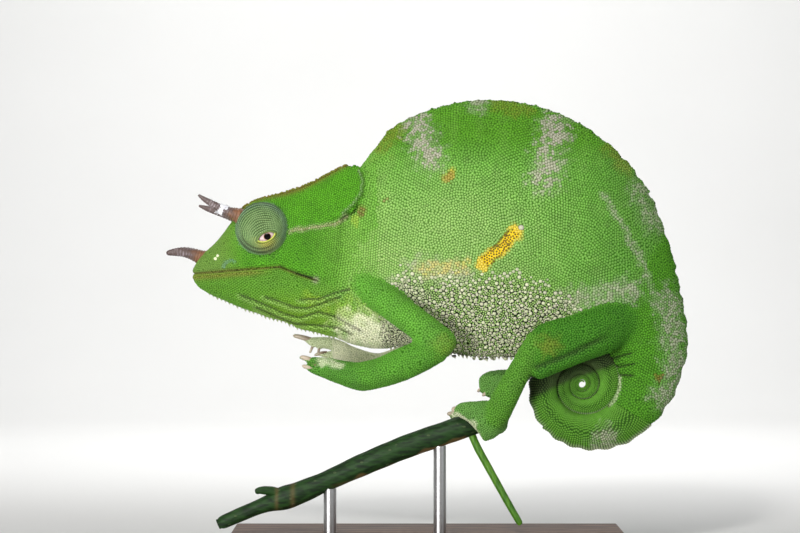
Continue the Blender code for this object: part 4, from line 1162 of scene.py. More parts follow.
def neighbour_mean(values: Array, edges: Array) -> Array:
    """Average each point's neighbours."""
    size = len(values)
    count = np.bincount(edges.ravel(), minlength=size).clip(1)
    columns = values.reshape(size, -1)
    total = np.empty_like(columns, dtype=float)
    for axis in range(columns.shape[1]):
        column = columns[:, axis]
        total[:, axis] = (np.bincount(edges[:, 0], column[edges[:, 1]], minlength=size)
                          + np.bincount(edges[:, 1], column[edges[:, 0]], minlength=size))
    return (total / count[:, None]).reshape(values.shape)


def blurred(values: Array, edges: Array, rounds: int) -> Array:
    """Blur numbers over a surface."""
    for _ in range(rounds):
        values = 0.5 * values + 0.5 * neighbour_mean(values, edges)
    return values


@dataclass(frozen=True)
class Blotch:
    """A marking that follows a line of x, z places on the side of the body."""

    pigment: Pigment
    line: tuple[Place, ...]
    width: float
    strength: float = 0.8
    soft: float = 0.5
    speckle: float = 0.4
    parts: tuple[str, ...] = ()

    def amount(self, points: Array, owner: Array) -> Array:
        """Return how strongly the marking shows at each point."""
        if len(self.line) == 1:
            away = np.hypot(points[:, 0] - self.line[0][0], points[:, 2] - self.line[0][1])
        else:
            away = np.abs(beside_line(points, self.line)[0])
        away = away / self.width + 0.35 * self.soft * Ripple(5.0, 31)(points)
        shown = self.strength * (1 - smooth_step(1 - self.soft, 1 + self.soft, away))
        if self.parts:
            shown *= in_parts(owner, *self.parts)
        return shown


TRUNK = ("torso", "neck", "tail_root")
RIDGE = TRUNK + TAIL
SPOT_WIDTH = 0.8
BIG_SPOT_WIDTH = 1.45
SMALL_SPOTS = (
    (28.4, 120.2), (29.5, 120.0), (30.5, 119.7), (31.5, 119.6), (29.9, 118.7), (31.2, 118.3),
    (26.7, 117.2), (27.8, 116.7), (29.0, 116.9), (30.2, 117.1), (24.9, 116.1), (26.0, 116.1),
    (27.0, 115.6), (28.1, 115.3), (23.8, 114.1), (26.9, 114.2), (28.0, 114.2), (22.7, 112.9),
    (24.0, 112.5), (26.2, 112.9), (27.5, 112.9), (26.6, 118.5),
)
BIG_SPOTS = ((28.4, 118.6), (25.3, 114.8), (29.4, 115.2))
YELLOW_SPOTS = (*((x, z, SPOT_WIDTH) for x, z in SMALL_SPOTS),
                *((x, z, BIG_SPOT_WIDTH) for x, z in BIG_SPOTS))
FLECKS = (
    (-79.2, 110.0, 1.35, Pigment.CREAM), (-78.4, 111.1, 1.2, Pigment.CREAM),
    (34.2, 121.5, 2.0, Pigment.LILAC),
)
YELLOW_PATCH = ((32.6, 120.9), (28.2, 115.7), (23.4, 110.9), (19.7, 108.0))
BLOTCHES = (
    Blotch(Pigment.OLIVE, ((-17.9, 154.2), (-12, 159)), 5.0, 0.7, 0.7, 0.3, RIDGE),
    Blotch(Pigment.OLIVE, ((26.8, 167.1), (36, 166)), 3.6, 0.6, 0.7, 0.3, RIDGE),
    Blotch(Pigment.OLIVE, ((67.6, 152.2), (74, 145)), 3.4, 0.6, 0.7, 0.3, RIDGE),
    Blotch(Pigment.LILAC, ((-4.2, 160.4), (-1.8, 154), (0.6, 147.3)), 4.9, 0.8, 0.8, 0.75, RIDGE),
    Blotch(Pigment.LILAC, ((18.6, 168.1),), 3.6, 0.55, 0.7, 0.6, RIDGE),
    Blotch(Pigment.LILAC, ((48.6, 161), (46, 152), (42.8, 139)), 5.4, 0.78, 0.85, 0.8, RIDGE),
    Blotch(Pigment.LILAC, ((84.6, 123.4), (78.7, 135.5)), 4.2, 0.45, 0.8, 0.6, RIDGE),
    Blotch(Pigment.LILAC, ((89.4, 94.6), (91.4, 79.7), (92.6, 66.6), (88, 58)), 5.0, 0.55, 0.85,
           0.6, RIDGE),
    Blotch(Pigment.LILAC, ((66.0, 42.6),), 5.0, 0.6, 0.6, 0.5, RIDGE),
    Blotch(Pigment.LILAC, ((65, 133.5), (71, 123.5), (77.8, 111.7), (82.3, 100.2), (85.1, 90.9)),
           1.3, 0.45, 0.8, 0.6, TRUNK),
    Blotch(Pigment.RUST, ((85.7, 66.6),), 1.3, 0.7, 0.4, 0.4, RIDGE),
    Blotch(Pigment.LILAC, ((52.3, 94), (63.5, 95.8), (74.8, 97.6)), 4.4, 0.55, 0.8, 0.5, TRUNK),
    Blotch(Pigment.LILAC, ((-16, 98.4), (-10.5, 100.2), (-3.1, 94.7)), 3.2, 0.6, 0.7, 0.4, TRUNK),
    Blotch(Pigment.PALE, ((-20, 113), (-16, 107.6), (-6, 112)), 7.0, 0.6, 0.8, 0.2, TRUNK),
    Blotch(Pigment.LILAC, ((13.1, 105), (4.2, 105.6), (-3.9, 105.8)), 4.2, 0.6, 0.7, 0.5, TRUNK),
    Blotch(Pigment.SAFFRON, ((14, 107), (4.2, 106.2), (-1.9, 105.8)), 2.6, 0.45, 0.7, 0.7, TRUNK),
    Blotch(Pigment.SAFFRON, YELLOW_PATCH, 2.5, 1.0, 0.3, 0.15, TRUNK),
    Blotch(Pigment.SAFFRON, ((8.6, 141.6), (6.2, 140.2)), 1.5, 0.6, 0.5, 0.5, TRUNK),
    Blotch(Pigment.RUST, ((7.6, 141.0), (6.2, 140.0)), 1.5, 0.55, 0.5, 0.5, TRUNK),
    Blotch(Pigment.RUST, ((-24.6, 127.6),), 2.0, 0.75, 0.5, 0.4, ("neck", "torso", "head")),
    Blotch(Pigment.LIME, ((-27.5, 124.3),), 1.9, 0.8, 0.5, 0.2, ("neck", "torso", "head")),
    Blotch(Pigment.RUST, ((-16.1, 131.7),), 1.0, 0.8, 0.4, 0.0, TRUNK),
    Blotch(Pigment.SKY, ((-76.2, 107.3), (-72.9, 109.2)), 0.75, 0.42, 0.6, 0.2, ("head",)),
    Blotch(Pigment.LIME, ((-43.8, 94.7), (-38, 92)), 3.5, 0.6, 0.7, 0.2, ("lower_jaw", "neck")),
    # The pale throat and chest below the neck: their own lime and cream, raised further as painted
    # light where they face down.
    Blotch(Pigment.LIME, ((-29, 87), (-20.1, 83.7), (-8.9, 86.4)), 8.0, 0.9, 0.7, 0.1,
           TRUNK + ("lower_jaw",)),
    Blotch(Pigment.CREAM, ((-27, 83.4), (-18.1, 80.7), (-9.9, 83.4)), 6.5, 0.95, 0.8, 0.1,
           TRUNK + ("lower_jaw",)),
    Blotch(Pigment.OLIVE, ((43.9, 78.2),), 4.0, 0.6, 0.7, 0.2, ("shin_left", "thigh_left")),
    Blotch(Pigment.OLIVE, ((6, 78.3),), 4.0, 0.4, 0.7, 0.2, ("upper_arm_left", "forearm_left")),
    Blotch(Pigment.LEAF, ((-38.3, 78.7),), 3.4, 0.9, 0.4, 0.2, ("hand_right",)),
    Blotch(Pigment.CREAM, ((-39.6, 72.6), (-32.6, 70.7)), 1.6, 0.6, 0.6, 0.3, ("hand_left",)),
    Blotch(Pigment.CREAM, ((8.8, 52), (12.9, 51), (15.7, 48.8), (18, 46.2), (18.6, 43.4),
                           (19.7, 40.5)), 1.3, 0.7, 0.5, 0.5, ("foot_left",)),
)


@dataclass(frozen=True)
class Shade:
    """The plain colour of one part of the body, before markings."""

    part: str
    mix: tuple[tuple[Pigment, float], ...]
    # The painted highlight on the scales' crowns, then the painted shade in the gaps between them.
    frost: float = 0.1
    gap_depth: float = 0.2


SHADES = (
    Shade("head", ((Pigment.MOSS, 0.1), (Pigment.LIME, 0.06)), 0.05, 0.18),
    Shade("lower_jaw", ((Pigment.MOSS, 0.5), (Pigment.LIME, 0.14)), 0.12, 0.2),
    Shade("eye_turret", ((Pigment.ASH, 0.72),), 0.16, 0.45),
    Shade("neck", ((Pigment.PALE, 0.2), (Pigment.LIME, 0.14)), 0.14, 0.22),
    Shade("torso", ((Pigment.PALE, 0.14),), 0.12, 0.25),
    Shade("tail_root", ((Pigment.MOSS, 0.4), (Pigment.OLIVE, 0.08)), 0.05, 0.3),
    Shade("tail_bend", ((Pigment.MOSS, 0.45), (Pigment.OLIVE, 0.1)), 0.06, 0.35),
    Shade("tail_", ((Pigment.MOSS, 0.45), (Pigment.OLIVE, 0.12)), 0.1, 0.5),
    Shade("upper_arm", ((Pigment.PALE, 0.1),), 0.12, 0.22),
    Shade("forearm", ((Pigment.MOSS, 0.25), (Pigment.PALE, 0.06)), 0.1, 0.22),
    Shade("hand", ((Pigment.MOSS, 0.4), (Pigment.ASH, 0.08)), 0.1, 0.25),
    Shade("thigh", ((Pigment.MOSS, 0.7),), 0.06, 0.25),
    Shade("shin", ((Pigment.MOSS, 0.5), (Pigment.LIME, 0.07)), 0.12, 0.28),
    Shade("foot", ((Pigment.MOSS, 0.3), (Pigment.ASH, 0.25)), 0.14, 0.3),
)


@dataclass
class Markings:
    """How much of each pigment the hide holds at any place."""

    hide: Hide
    granule_edge: tuple[Place, ...] = (
        (-20, 110.7), (-13.1, 108.7), (0.6, 103.9), (19, 105.8), (33.7, 106.5), (48.6, 100.2),
        (63.4, 94.7),
    )
    blend_rounds: int = 30
    base: Array = field(init=False)

    def __post_init__(self) -> None:
        """Blend the plain colours of neighbouring parts over the hide."""
        points, owner = self.hide.surface.points, self.hide.owner
        base = self._plain(owner)
        x = points[:, 0]
        head, jaw, neck, torso = (in_parts(owner, name)
                                  for name in ("head", "lower_jaw", "neck", "torso"))
        crest, _ = beside_line(points, FACE.crest)
        casque = head & (crest > 0) & (x > -56)
        rows = {name: self._plain(np.array([FLESH.index(name)]))[0]
                for name in ("head", "lower_jaw", "neck", "torso")}
        share = smooth_step(-48.0, -24.0, x)[:, None]
        front = rows["head"] * 0.5 + rows["lower_jaw"] * 0.5
        for chosen, first in ((head & ~casque, rows["head"]), (jaw, rows["lower_jaw"]),
                              (neck, front)):
            base[chosen] = (first * (1 - share) + rows["neck"] * share)[chosen]
        share = smooth_step(-30.0, -6.0, x)[:, None]
        for chosen in (neck, torso):
            mixed = (rows["neck"] * (1 - share) + rows["torso"] * share)[chosen]
            base[chosen] = np.where(share[chosen] > 0, mixed, base[chosen])
        self.base = blurred(base, self.hide.edges, self.blend_rounds)

    @staticmethod
    def _plain(owner: Array) -> Array:
        """Return each place's plain pigments, painted crown highlight and painted gap shade by its
        node.
        """
        base = np.zeros((len(owner), len(Pigment) + 2))
        order = list(Pigment)
        for shade in reversed(SHADES):
            row = np.zeros(len(order) + 2)
            for pigment, value in shade.mix:
                row[order.index(pigment)] = value
            row[-2:] = shade.frost, shade.gap_depth
            base[in_parts(owner, shade.part)] = row
        return base

    def granular(self, points: Array, owner: Array) -> Array:
        """Return how deep points lie in the zone of pale granules, low on the flank."""
        edge, share = beside_line(points, self.granule_edge)
        ends = smooth_step(0.04, 0.2, share) * smooth_step(0.0, 0.16, 1 - share)
        trunk = in_parts(owner, "torso")
        return smooth_step(-4.0, 9.0, -edge) * ends * trunk

    def on_hide(self, points: Array, triangles: Array, rng: np.random.Generator | None) -> dict:
        """Work out the pigments for places on triangles of the hide."""
        corners = self.hide.surface.triangles[triangles]
        return self._amounts(points, self.hide.owner[corners[:, 0]],
                             self.base[corners].mean(axis=1), rng)

    def on_coil(self, points: Array, rng: np.random.Generator | None) -> dict:
        """Work out the pigments for places on the coiled tail."""
        owner = np.full(len(points), FLESH.index(TAIL[1]))
        return self._amounts(points, owner, self._plain(owner), rng)

    def _amounts(self, points: Array, owner: Array, base: Array,
                 rng: np.random.Generator | None) -> dict:
        """Lay the markings over the plain colours.

        Args:
            points: Places in millimetres.
            owner: Number of the flesh node that each place belongs to.
            base: Rows of plain pigments, painted crown highlight and painted gap shade.
            rng: Draws for single scales, or None for the skin.

        Returns:
            Amounts by attribute name.
        """
        held = {pigment: base[:, index].copy() for index, pigment in enumerate(Pigment)}
        # The painted highlight on scale crowns, and the painted shade in the gaps between scales.
        frost, gap = base[:, -2].copy(), base[:, -1].copy()
        draws = rng.uniform(0, 1, len(points)) if rng is not None else np.full(len(points), 0.5)
        self._broad(held, frost, gap, points, owner)
        self._face(held, points, owner)
        wander = points + np.stack([Ripple(5.0, 7)(points), np.zeros(len(points)),
                                    Ripple(5.0, 8)(points)], axis=1) * 0.7
        mottle = smooth_step(0.1, 0.8, Ripple(3.2, 33, 16)(points))
        for blotch in BLOTCHES:
            amount = blotch.amount(wander, owner)
            flecked = np.where(amount > draws * 0.9, 0.55 + 0.45 * amount, amount * 0.3)
            amount = amount * (1 - blotch.speckle) + flecked * amount ** 0.5 * blotch.speckle
            if blotch.width > 3:
                amount = amount * (1 - blotch.speckle * mottle)
            at_least(held, blotch.pigment, amount.clip(0, 1))
        patch = self.in_patch(points)
        if rng is not None:
            held[Pigment.SAFFRON][patch] *= 0.3
            held[Pigment.DUSK][patch] = 0.2
            held[Pigment.RUST][patch] = np.maximum(held[Pigment.RUST], 0.75 + 0.2 * draws)[patch]
        gap[patch] = 0.0
        frost[patch] = 0.0
        made = {pigment.label: held[pigment].clip(0, 1) for pigment in list(Pigment)[1:]}
        made["gap_depth"] = gap.clip(0, 1)
        if rng is not None:
            made["frost"] = frost.clip(0, 1)
            made["tone"] = np.clip(rng.normal(0.12, 0.14, len(points)), 0, 1)
        return made

    def _broad(self, held: dict, frost: Array, gap: Array, points: Array,
               owner: Array) -> None:
        """Colour the trunk: pale in the middle of the flank and the shoulder, deeper behind; add
        painted shadow, shade and highlights, and a paler far forearm as painted light.
        """
        trunk = in_parts(owner, "torso")
        x, z = points[:, 0], points[:, 2]
        middle = bell(x - 8.0, 40.0) * smooth_step(158.0, 118.0, z)
        held[Pigment.PALE][trunk] += (0.34 * middle)[trunk]
        frost[trunk] += (0.2 * middle)[trunk]
        ridge = smooth_step(142.0, 158.0, z)
        held[Pigment.MOSS][trunk] += (0.24 * ridge)[trunk]
        held[Pigment.OLIVE][trunk] += (0.14 * ridge)[trunk]
        held[Pigment.PALE][trunk] *= (1 - 0.8 * ridge)[trunk]
        frost[trunk] *= (1 - 0.7 * ridge)[trunk]
        # Painted highlights on the crests of the fine folds round the shoulder.
        around = np.hypot(x - SHOULDER[0], z - SHOULDER[1])
        ripple = 0.5 + 0.5 * np.sin(around * 2 * math.pi / 1.9 + 0.8 * Ripple(9.0, 61)(points))
        neck = trunk | in_parts(owner, "neck")
        fold_crest_highlight = ripple * bell(around - 12.0, 5.0) * neck * (x < SHOULDER[0] + 6)
        held[Pigment.PALE] += 0.4 * fold_crest_highlight
        behind = smooth_step(45.0, 82.0, x)
        held[Pigment.MOSS][trunk] = np.maximum(held[Pigment.MOSS], 0.5 * behind)[trunk]
        held[Pigment.PALE][trunk] *= (1 - 0.55 * behind)[trunk]
        zone = self.granular(points, owner)
        at_least(held, Pigment.LIME, 0.3 * zone)
        at_least(held, Pigment.ASH, 0.25 * zone)
        # Painted highlights on the crowns of the low-flank granules and deep painted shade in the
        # gaps between them.
        frost[:] = np.maximum(frost, 0.4 * zone)
        gap[:] = np.maximum(gap, 0.95 * zone)
        clouds = Ripple(11.0, 3)(points) * 0.5 + Ripple(5.0, 4)(points) * 0.3
        held[Pigment.MOSS] += 0.14 * clouds.clip(0, 1.5)
        held[Pigment.PALE] += 0.12 * (-clouds).clip(0, 1.5) * trunk
        # Painted shadow of the thigh: on the coil just below the thigh's lower edge, and on the
        # thigh's own underside along that edge.
        coil = in_parts(owner, *TAIL)
        under, _ = beside_line(points, THIGH_EDGE)
        leg = in_parts(owner, "thigh_left")
        shaded = coil * bell(np.minimum(under + 0.6, 0), 1.3) + leg * bell(under.clip(0.4) - 0.4, 1.5)
        held[Pigment.DUSK] += 0.85 * shaded.clip(0, 1) * (x < 71.0) * (x > 36.0)
        # Painted shade in the deep fold along the thigh and beside it on the trunk.
        fold, share = beside_line(points, THIGH_FOLD)
        thigh = leg | in_parts(owner, "thigh_right", "tail_root") | trunk
        held[Pigment.DUSK] += 0.6 * bell(fold, 1.2) * thigh * smooth_step(0.0, 0.35, 1 - share)
        # Where the rump meets the coil's outer turn: a painted highlight on the rump's edge in the
        # lower half, and painted shade in the seam.
        seam = Hide.coil_seam(points)
        rump = trunk | in_parts(owner, "tail_root")
        held[Pigment.CREAM] += 0.5 * bell(seam - 0.5, 0.5) * rump * (z < COIL.z + 4.0)
        held[Pigment.DUSK] += 0.5 * bell(seam + 0.6, 0.6) * rump
        # The far forearm and hand: their own pale mint, made paler still as painted light, with no
        # painted gap shade.
        far = in_parts(owner, "forearm_right", "hand_right")
        held[Pigment.MOSS][far] = 0.0
        held[Pigment.CREAM][far] = np.where(points[:, 0] > -36.0, 0.9, 0.6)[far]
        held[Pigment.PALE][far] = 1.0
        gap[far] = 0.0

    def _face(self, held: dict, points: Array, owner: Array) -> None:
        """Mark the lips, snout, temples, casque and the skin round the eyes, with painted shade in
        the slits, folds and creases and painted highlights beside the wrinkles.
        """
        head = in_parts(owner, "head")
        jaw = in_parts(owner, "lower_jaw")
        neck = in_parts(owner, "neck")
        x, y, z = points.T
        held[Pigment.OLIVE][head] = (0.4 * smooth_step(-66.0, -78.0, x))[head]
        held[Pigment.ASH][head] = (0.25 * smooth_step(-66.0, -80.0, x))[head]
        temple = bell(x + 44.0, 12.0) * bell(z - 116.0, 9.0)
        held[Pigment.MOSS][head] += (0.3 * temple)[head]
        lip, share = beside_line(points, FACE.mouth)
        line = bell(lip, 0.6) * (head | jaw) * smooth_step(0.0, 0.04, 1 - share)
        at_least(held, Pigment.RUST, 0.6 * line)
        # Painted shade in the thin slit between the lips.
        at_least(held, Pigment.DUSK, 0.6 * bell(lip, 0.25) * (head | jaw))
        below = bell(lip + 1.4, 1.1) * (head | jaw) * smooth_step(-56.0, -68.0, x)
        at_least(held, Pigment.OLIVE, 0.7 * below)
        at_least(held, Pigment.RUST, 0.25 * below)
        # Painted shade inside the slit at the corner of the mouth.
        slit, share = beside_line(points, FACE.corner)
        inside = bell(slit, 0.55) * smooth_step(0.1, 0.5, share) * (head | jaw | neck)
        at_least(held, Pigment.DUSK, inside * (share < 0.84))
        end = bell(np.hypot(x + 41.7, z - 102.2), 1.1) * (head | jaw | neck)
        at_least(held, Pigment.LILAC, 0.75 * end)
        at_least(held, Pigment.RUST, 0.25 * end)
        throat = jaw * smooth_step(101.0, 88.0, z) * smooth_step(-76.0, -52.0, x)
        held[Pigment.LIME] += 0.3 * throat
        held[Pigment.MOSS] *= 1 - 0.5 * throat
        crest, share = beside_line(points, FACE.crest)
        line = bell(crest + 0.3 * Ripple(4.0, 51)(points), 0.8) * (np.abs(y) > 4)
        line = line * smooth_step(0.0, 0.05, share) * (head | neck)
        beads = 0.5 + 0.5 * np.sin(x * 4.6) * smooth_step(-0.4, 0.4, Ripple(6.0, 52)(points))
        at_least(held, Pigment.CREAM, 0.5 * line * (1.0 - 0.5 * beads))
        at_least(held, Pigment.RUST, 0.5 * line * (0.7 + 0.3 * beads))
        edge, _ = beside_line(points, FACE.top)
        rim = bell(edge, 1.3) * head
        at_least(held, Pigment.OLIVE, 0.6 * rim)
        at_least(held, Pigment.RUST, 0.55 * rim)
        # Each wrinkle of the throat and neck: painted shadow in the fold and a painted highlight on
        # the ridge beside it.
        for fold_line in FACE.wrinkles:
            fold, _ = beside_line(points, fold_line)
            shown = jaw | neck
            at_least(held, Pigment.DUSK, 0.75 * bell(fold, 0.5) * shown)
            at_least(held, Pigment.PALE, 0.4 * bell(fold + 1.1, 0.7) * shown)
        # Painted shadow in the groove under the free edge of the casque's lobe, with a lilac line
        # beside it.
        lobe, _ = beside_line(points, FACE.lobe)
        shown = (np.abs(y) > 4) * (head | neck)
        at_least(held, Pigment.DUSK, 0.5 * bell(lobe + 0.4, 0.45) * shown)
        at_least(held, Pigment.LILAC, 0.25 * bell(lobe + 1.2, 0.4) * shown)
        turret = in_parts(owner, *TURRETS)
        out = np.hypot(x - FACE.turret[0], z - FACE.turret[2])
        at_least(held, Pigment.SKY, 0.25 * bell(out - 9.0, 1.1) * turret)
        low = bell(np.hypot(x - FACE.lid[0], z - FACE.lid[1] + 1.6), 3.4) * (z < FACE.lid[1])
        at_least(held, Pigment.SAFFRON, 0.45 * low * turret)
        # Painted shade in the fine fold rings on the lower front of each eye turret.
        rings = bell(out - 8.9, 0.45) + bell(out - 7.6, 0.35)
        painted_turret_shade = turret * rings * smooth_step(123.0, 115.0, z) * smooth_step(-55.0, -60.0, x)
        at_least(held, Pigment.DUSK, 0.85 * painted_turret_shade.clip(0, 1))
        held[Pigment.PALE] += 0.35 * turret * smooth_step(7.5, 4.0, out)
        # Painted shade in the creases at the root of the thigh.
        rump = in_parts(owner, "tail_root", "tail_bend", "torso")
        for line in CREASES:
            fold, _ = beside_line(points, line)
            at_least(held, Pigment.DUSK, 0.85 * bell(fold, 0.5) * rump)

    @staticmethod
    def in_patch(points: Array) -> Array:
        """Tell which places lie in the yellow patch, where brown scales stand in a yellow net."""
        away, share = beside_line(points, YELLOW_PATCH)
        return (np.abs(away) < 2.25) & (np.abs(points[:, 1]) > 8.0) & (share > 0.06) & (share < 0.95)


@dataclass
class Roots:
    """Places where scales grow, and how wide each scale's room is."""

    points: Array
    gaps: Array
    fixed: Array

    @classmethod
    def of(cls, points: Sequence[Array], gaps: Sequence[float]) -> "Roots":
        """Make roots that stay where they are."""
        return cls(np.array(points).reshape(-1, 3), np.array(gaps, dtype=float),
                   np.ones(len(points), dtype=bool))

    def chosen(self, which: Array) -> "Roots":
        """Return some of the roots."""
        return Roots(self.points[which], self.gaps[which], self.fixed[which])

    def plus(self, other: "Roots") -> "Roots":
        """Return both sets together."""
        return Roots(np.vstack([self.points, other.points]),
                     np.concatenate([self.gaps, other.gaps]),
                     np.concatenate([self.fixed, other.fixed]))


@dataclass
class Seeder:
    """Spreads roots over the hide: in rows where scales lie in rows, evenly elsewhere."""

    hide: Hide
    rng: np.random.Generator
    gaps: tuple[tuple[str, float], ...] = (
        ("head", 0.88), ("lower_jaw", 0.88), ("neck", 0.98), ("torso", 1.03), ("tail_root", 0.98),
        ("upper_arm", 0.96), ("forearm", 0.9), ("hand", 0.76), ("thigh", 0.96), ("shin", 0.9),
        ("foot", 0.78),
    )
    lattices: tuple[tuple[tuple[str, ...], Place], ...] = (
        (("head", "lower_jaw"), (-92.0, -18.0)), (("neck", "torso", "tail_root"), (-50.0, 98.0)),
    )
    snout_gap: float = 0.74
    small_gap: float = 0.92
    big_gap: tuple[float, float] = (1.3, 1.85)
    big_share: float = 0.11
    candidates: float = 4.6
    rounds: int = 12
    void: float = 0.64
    fill_share: float = 0.8
    push: float = 0.42
    crowding: float = 0.38
    spacing: float = 0.53
    patch_width: float = 0.76
    column_step: float = 0.87
    lattice_foot: float = 58.0
    lattice_height: float = 116.0
    lattice_drift: float = 3.2
    lattice_jitter: float = 0.08
    lattice_slant: float = 0.14
    ray_start: float = 40.0
    ray_reach: float = 60.0
    turret_rows: int = 14

    def room(self, points: Array, owner: Array, markings: Markings) -> Array:
        """Return the width of the scales wanted at places of the hide; 0 where none grow freely."""
        gap = np.zeros(len(points))
        for prefix, value in self.gaps:
            gap[in_parts(owner, prefix)] = value
        head = in_parts(owner, "head")
        near = smooth_step(-62.0, -76.0, points[:, 0])
        gap[head] = (gap * (1 - near) + self.snout_gap * near)[head]
        lip, _ = beside_line(points, FACE.mouth)
        jaw = in_parts(owner, "lower_jaw")
        gap[jaw] = np.minimum(gap, 0.72 + 0.05 * np.abs(lip))[jaw]
        zone = markings.granular(points, owner)
        gap = gap * (1 - zone) + np.minimum(gap, self.small_gap) * zone
        slit, _ = beside_line(points, FACE.corner)
        bare = (head | jaw) & ((np.abs(lip) < 0.3) | (np.abs(slit) < 0.45))
        for line in CREASES:
            bare |= np.abs(beside_line(points, line)[0]) < 0.35
        return np.where(bare, 0.0, gap)

    def grow(self, markings: Markings) -> tuple[Array, Array, Array, Array]:
        """Plant the whole hide.

        Args:
            markings: Tells where the pale granules lie.

        Returns:
            Points, widths, which ones are big granules, and the triangle under each root.
        """
        hide = self.hide
        fixed = self._turret_rings().plus(self._rows()).plus(self._spots())
        coil = Roots.of(*self.coil_rings(40.0, 70.0)[:2])
        held = len(fixed.points)
        fixed = fixed.plus(coil)
        coiled = len(fixed.points)
        for names, span in self.lattices:
            fixed = fixed.plus(self._lattice(markings, names, span))
        corners = hide.surface.points[hide.surface.triangles]
        middles = corners.mean(axis=1)
        owner = hide.owner[hide.surface.triangles[:, 0]]
        room = self.room(middles, owner, markings)
        area = 0.5 * np.linalg.norm(
            np.cross(corners[:, 1] - corners[:, 0], corners[:, 2] - corners[:, 0]), axis=1)
        density = np.where(room > 0, area / np.maximum(room, 0.1) ** 2, 0.0)
        count = int(density.sum() * self.candidates)
        picked = self.rng.choice(len(corners), size=count, p=density / density.sum())
        share = self.rng.dirichlet((1.0, 1.0, 1.0), count)
        points = (corners[picked] * share[:, :, None]).sum(axis=1)
        gaps = room[picked]
        zone = markings.granular(points, owner[picked])
        big = self.rng.uniform(0, 1, count) < self.big_share * smooth_step(0.1, 0.6, zone)
        gaps[big] = self.rng.uniform(*self.big_gap, big.sum()) * (0.75 + 0.25 * zone[big])
        order = np.argsort(np.where(big, 0.0, 1.0) + self.rng.uniform(0, 0.5, count))
        free = Roots(points[order], gaps[order], np.zeros(count, dtype=bool))
        roots = self._thinned(fixed.plus(free))
        rounds = self.rounds
        for turn in range(rounds):
            if turn == rounds // 2:
                roots = roots.plus(self._filling(roots, free))
            roots.points = self._spread(roots)
        widths = self._measured(roots.points, roots.gaps)
        patch = Markings.in_patch(roots.points)
        widths[patch] = np.where(roots.fixed, 0.9 * roots.gaps, self.patch_width)[patch]
        stay = np.ones(len(roots.points), dtype=bool)
        stay[held:coiled] = False
        points, triangles = hide.surface.settle(roots.points[stay])
        return points, widths[stay], roots.gaps[stay] > self.big_gap[0] - 0.1, triangles

    def _lattice(self, markings: Markings, names: tuple[str, ...], span: Place) -> Roots:
        """Lay rows of roots over the sides of some nodes, where scales lie in rows."""
        surface, hide = self.hide.surface, self.hide
        gap = dict(self.gaps)[names[0]]
        wanted = {FLESH.index(name) for name in names}
        columns = int((span[1] - span[0]) / (gap * self.column_step))
        column, row = np.meshgrid(np.arange(columns), np.arange(int(self.lattice_height / gap)),
                                  indexing="ij")
        flat = np.stack([span[0] + column * gap * self.column_step, np.zeros(column.shape),
                         self.lattice_foot + (row + 0.5 * (column % 2)) * gap], axis=-1)
        flat = flat.reshape(-1, 3)
        drift = np.stack([Ripple(46.0, 21)(flat), Ripple(52.0, 22)(flat)], axis=1)
        drift = drift * self.lattice_drift
        flat[:, (0, 2)] += drift + self.rng.normal(0, self.lattice_jitter, drift.shape)
        flat[:, 0] += self.lattice_slant * (flat[:, 2] - 112.0)
        found = []
        for x, _, z in flat.tolist():
            for side in (-1, 1):
                place, normal, index, _ = surface.tree.ray_cast(
                    Vector((x, side * self.ray_start, z)), Vector((0, -side, 0)), self.ray_reach)
                if place is None or abs(normal.y) < 0.6:
                    continue
                node = hide.owner[surface.triangles[index][0]]
                if node in wanted:
                    found.append((*place, node))
        found = np.array(found)
        points, owner = found[:, :3], found[:, 3].astype(int)
        room = self.room(points, owner, markings)
        kept = (markings.granular(points, owner) < 0.25) & (room > 0.9 * gap)
        return Roots(points[kept], room[kept], np.zeros(int(kept.sum()), dtype=bool))

    def _thinned(self, roots: Roots) -> Roots:
        """Return the roots that stay when each keeps its room, earlier ones first."""
        tree = tree_of(roots.points)
        widest = float(roots.gaps.max())
        dropped = np.zeros(len(roots.points), dtype=bool)
        gaps = roots.gaps.tolist()
        for index, point in enumerate(roots.points.tolist()):
            if dropped[index]:
                continue
            reach = self.crowding * (gaps[index] + widest)
            for _, other, distance in tree.find_range(point, reach):
                if other > index and distance < self.crowding * (gaps[index] + gaps[other]):
                    dropped[other] = True
        dropped[roots.fixed] = False
        return roots.chosen(~dropped)

    def _filling(self, roots: Roots, free: Roots) -> Roots:
        """Return smaller roots for the widest voids, picked from the free places."""
        tree = tree_of(roots.points)
        away = np.array([tree.find(point)[2] for point in free.points.tolist()])
        wide = np.nonzero((away > self.void * free.gaps) & (free.gaps < self.big_gap[0]))[0]
        smaller = Roots(free.points[wide], self.fill_share * free.gaps[wide], free.fixed[wide])
        return self._thinned(smaller)

    @staticmethod
    def _near(points: Array, count: int) -> Array:
        """Return the numbers of the points nearest to each point, itself first."""
        tree = tree_of(points)
        return np.array([[found[1] for found in tree.find_n(point, count)]
                         for point in points.tolist()])

    def _spread(self, roots: Roots) -> Array:
        """Push free roots apart once and bring them back to the hide."""
        near = self._near(roots.points, 7)[:, 1:]
        offset = roots.points[:, None] - roots.points[near]
        distance = np.linalg.norm(offset, axis=2)
        target = self.spacing * (roots.gaps[:, None] + roots.gaps[near])
        force = np.clip(1 - distance / target, 0, 1) * target / np.maximum(distance, 0.05)
        moved = roots.points + self.push * (offset * force[..., None]).sum(axis=1)
        moved[roots.fixed] = roots.points[roots.fixed]
        free = np.nonzero(~roots.fixed)[0]
        moved[free] = self.hide.surface.settle(moved[free])[0]
        return moved

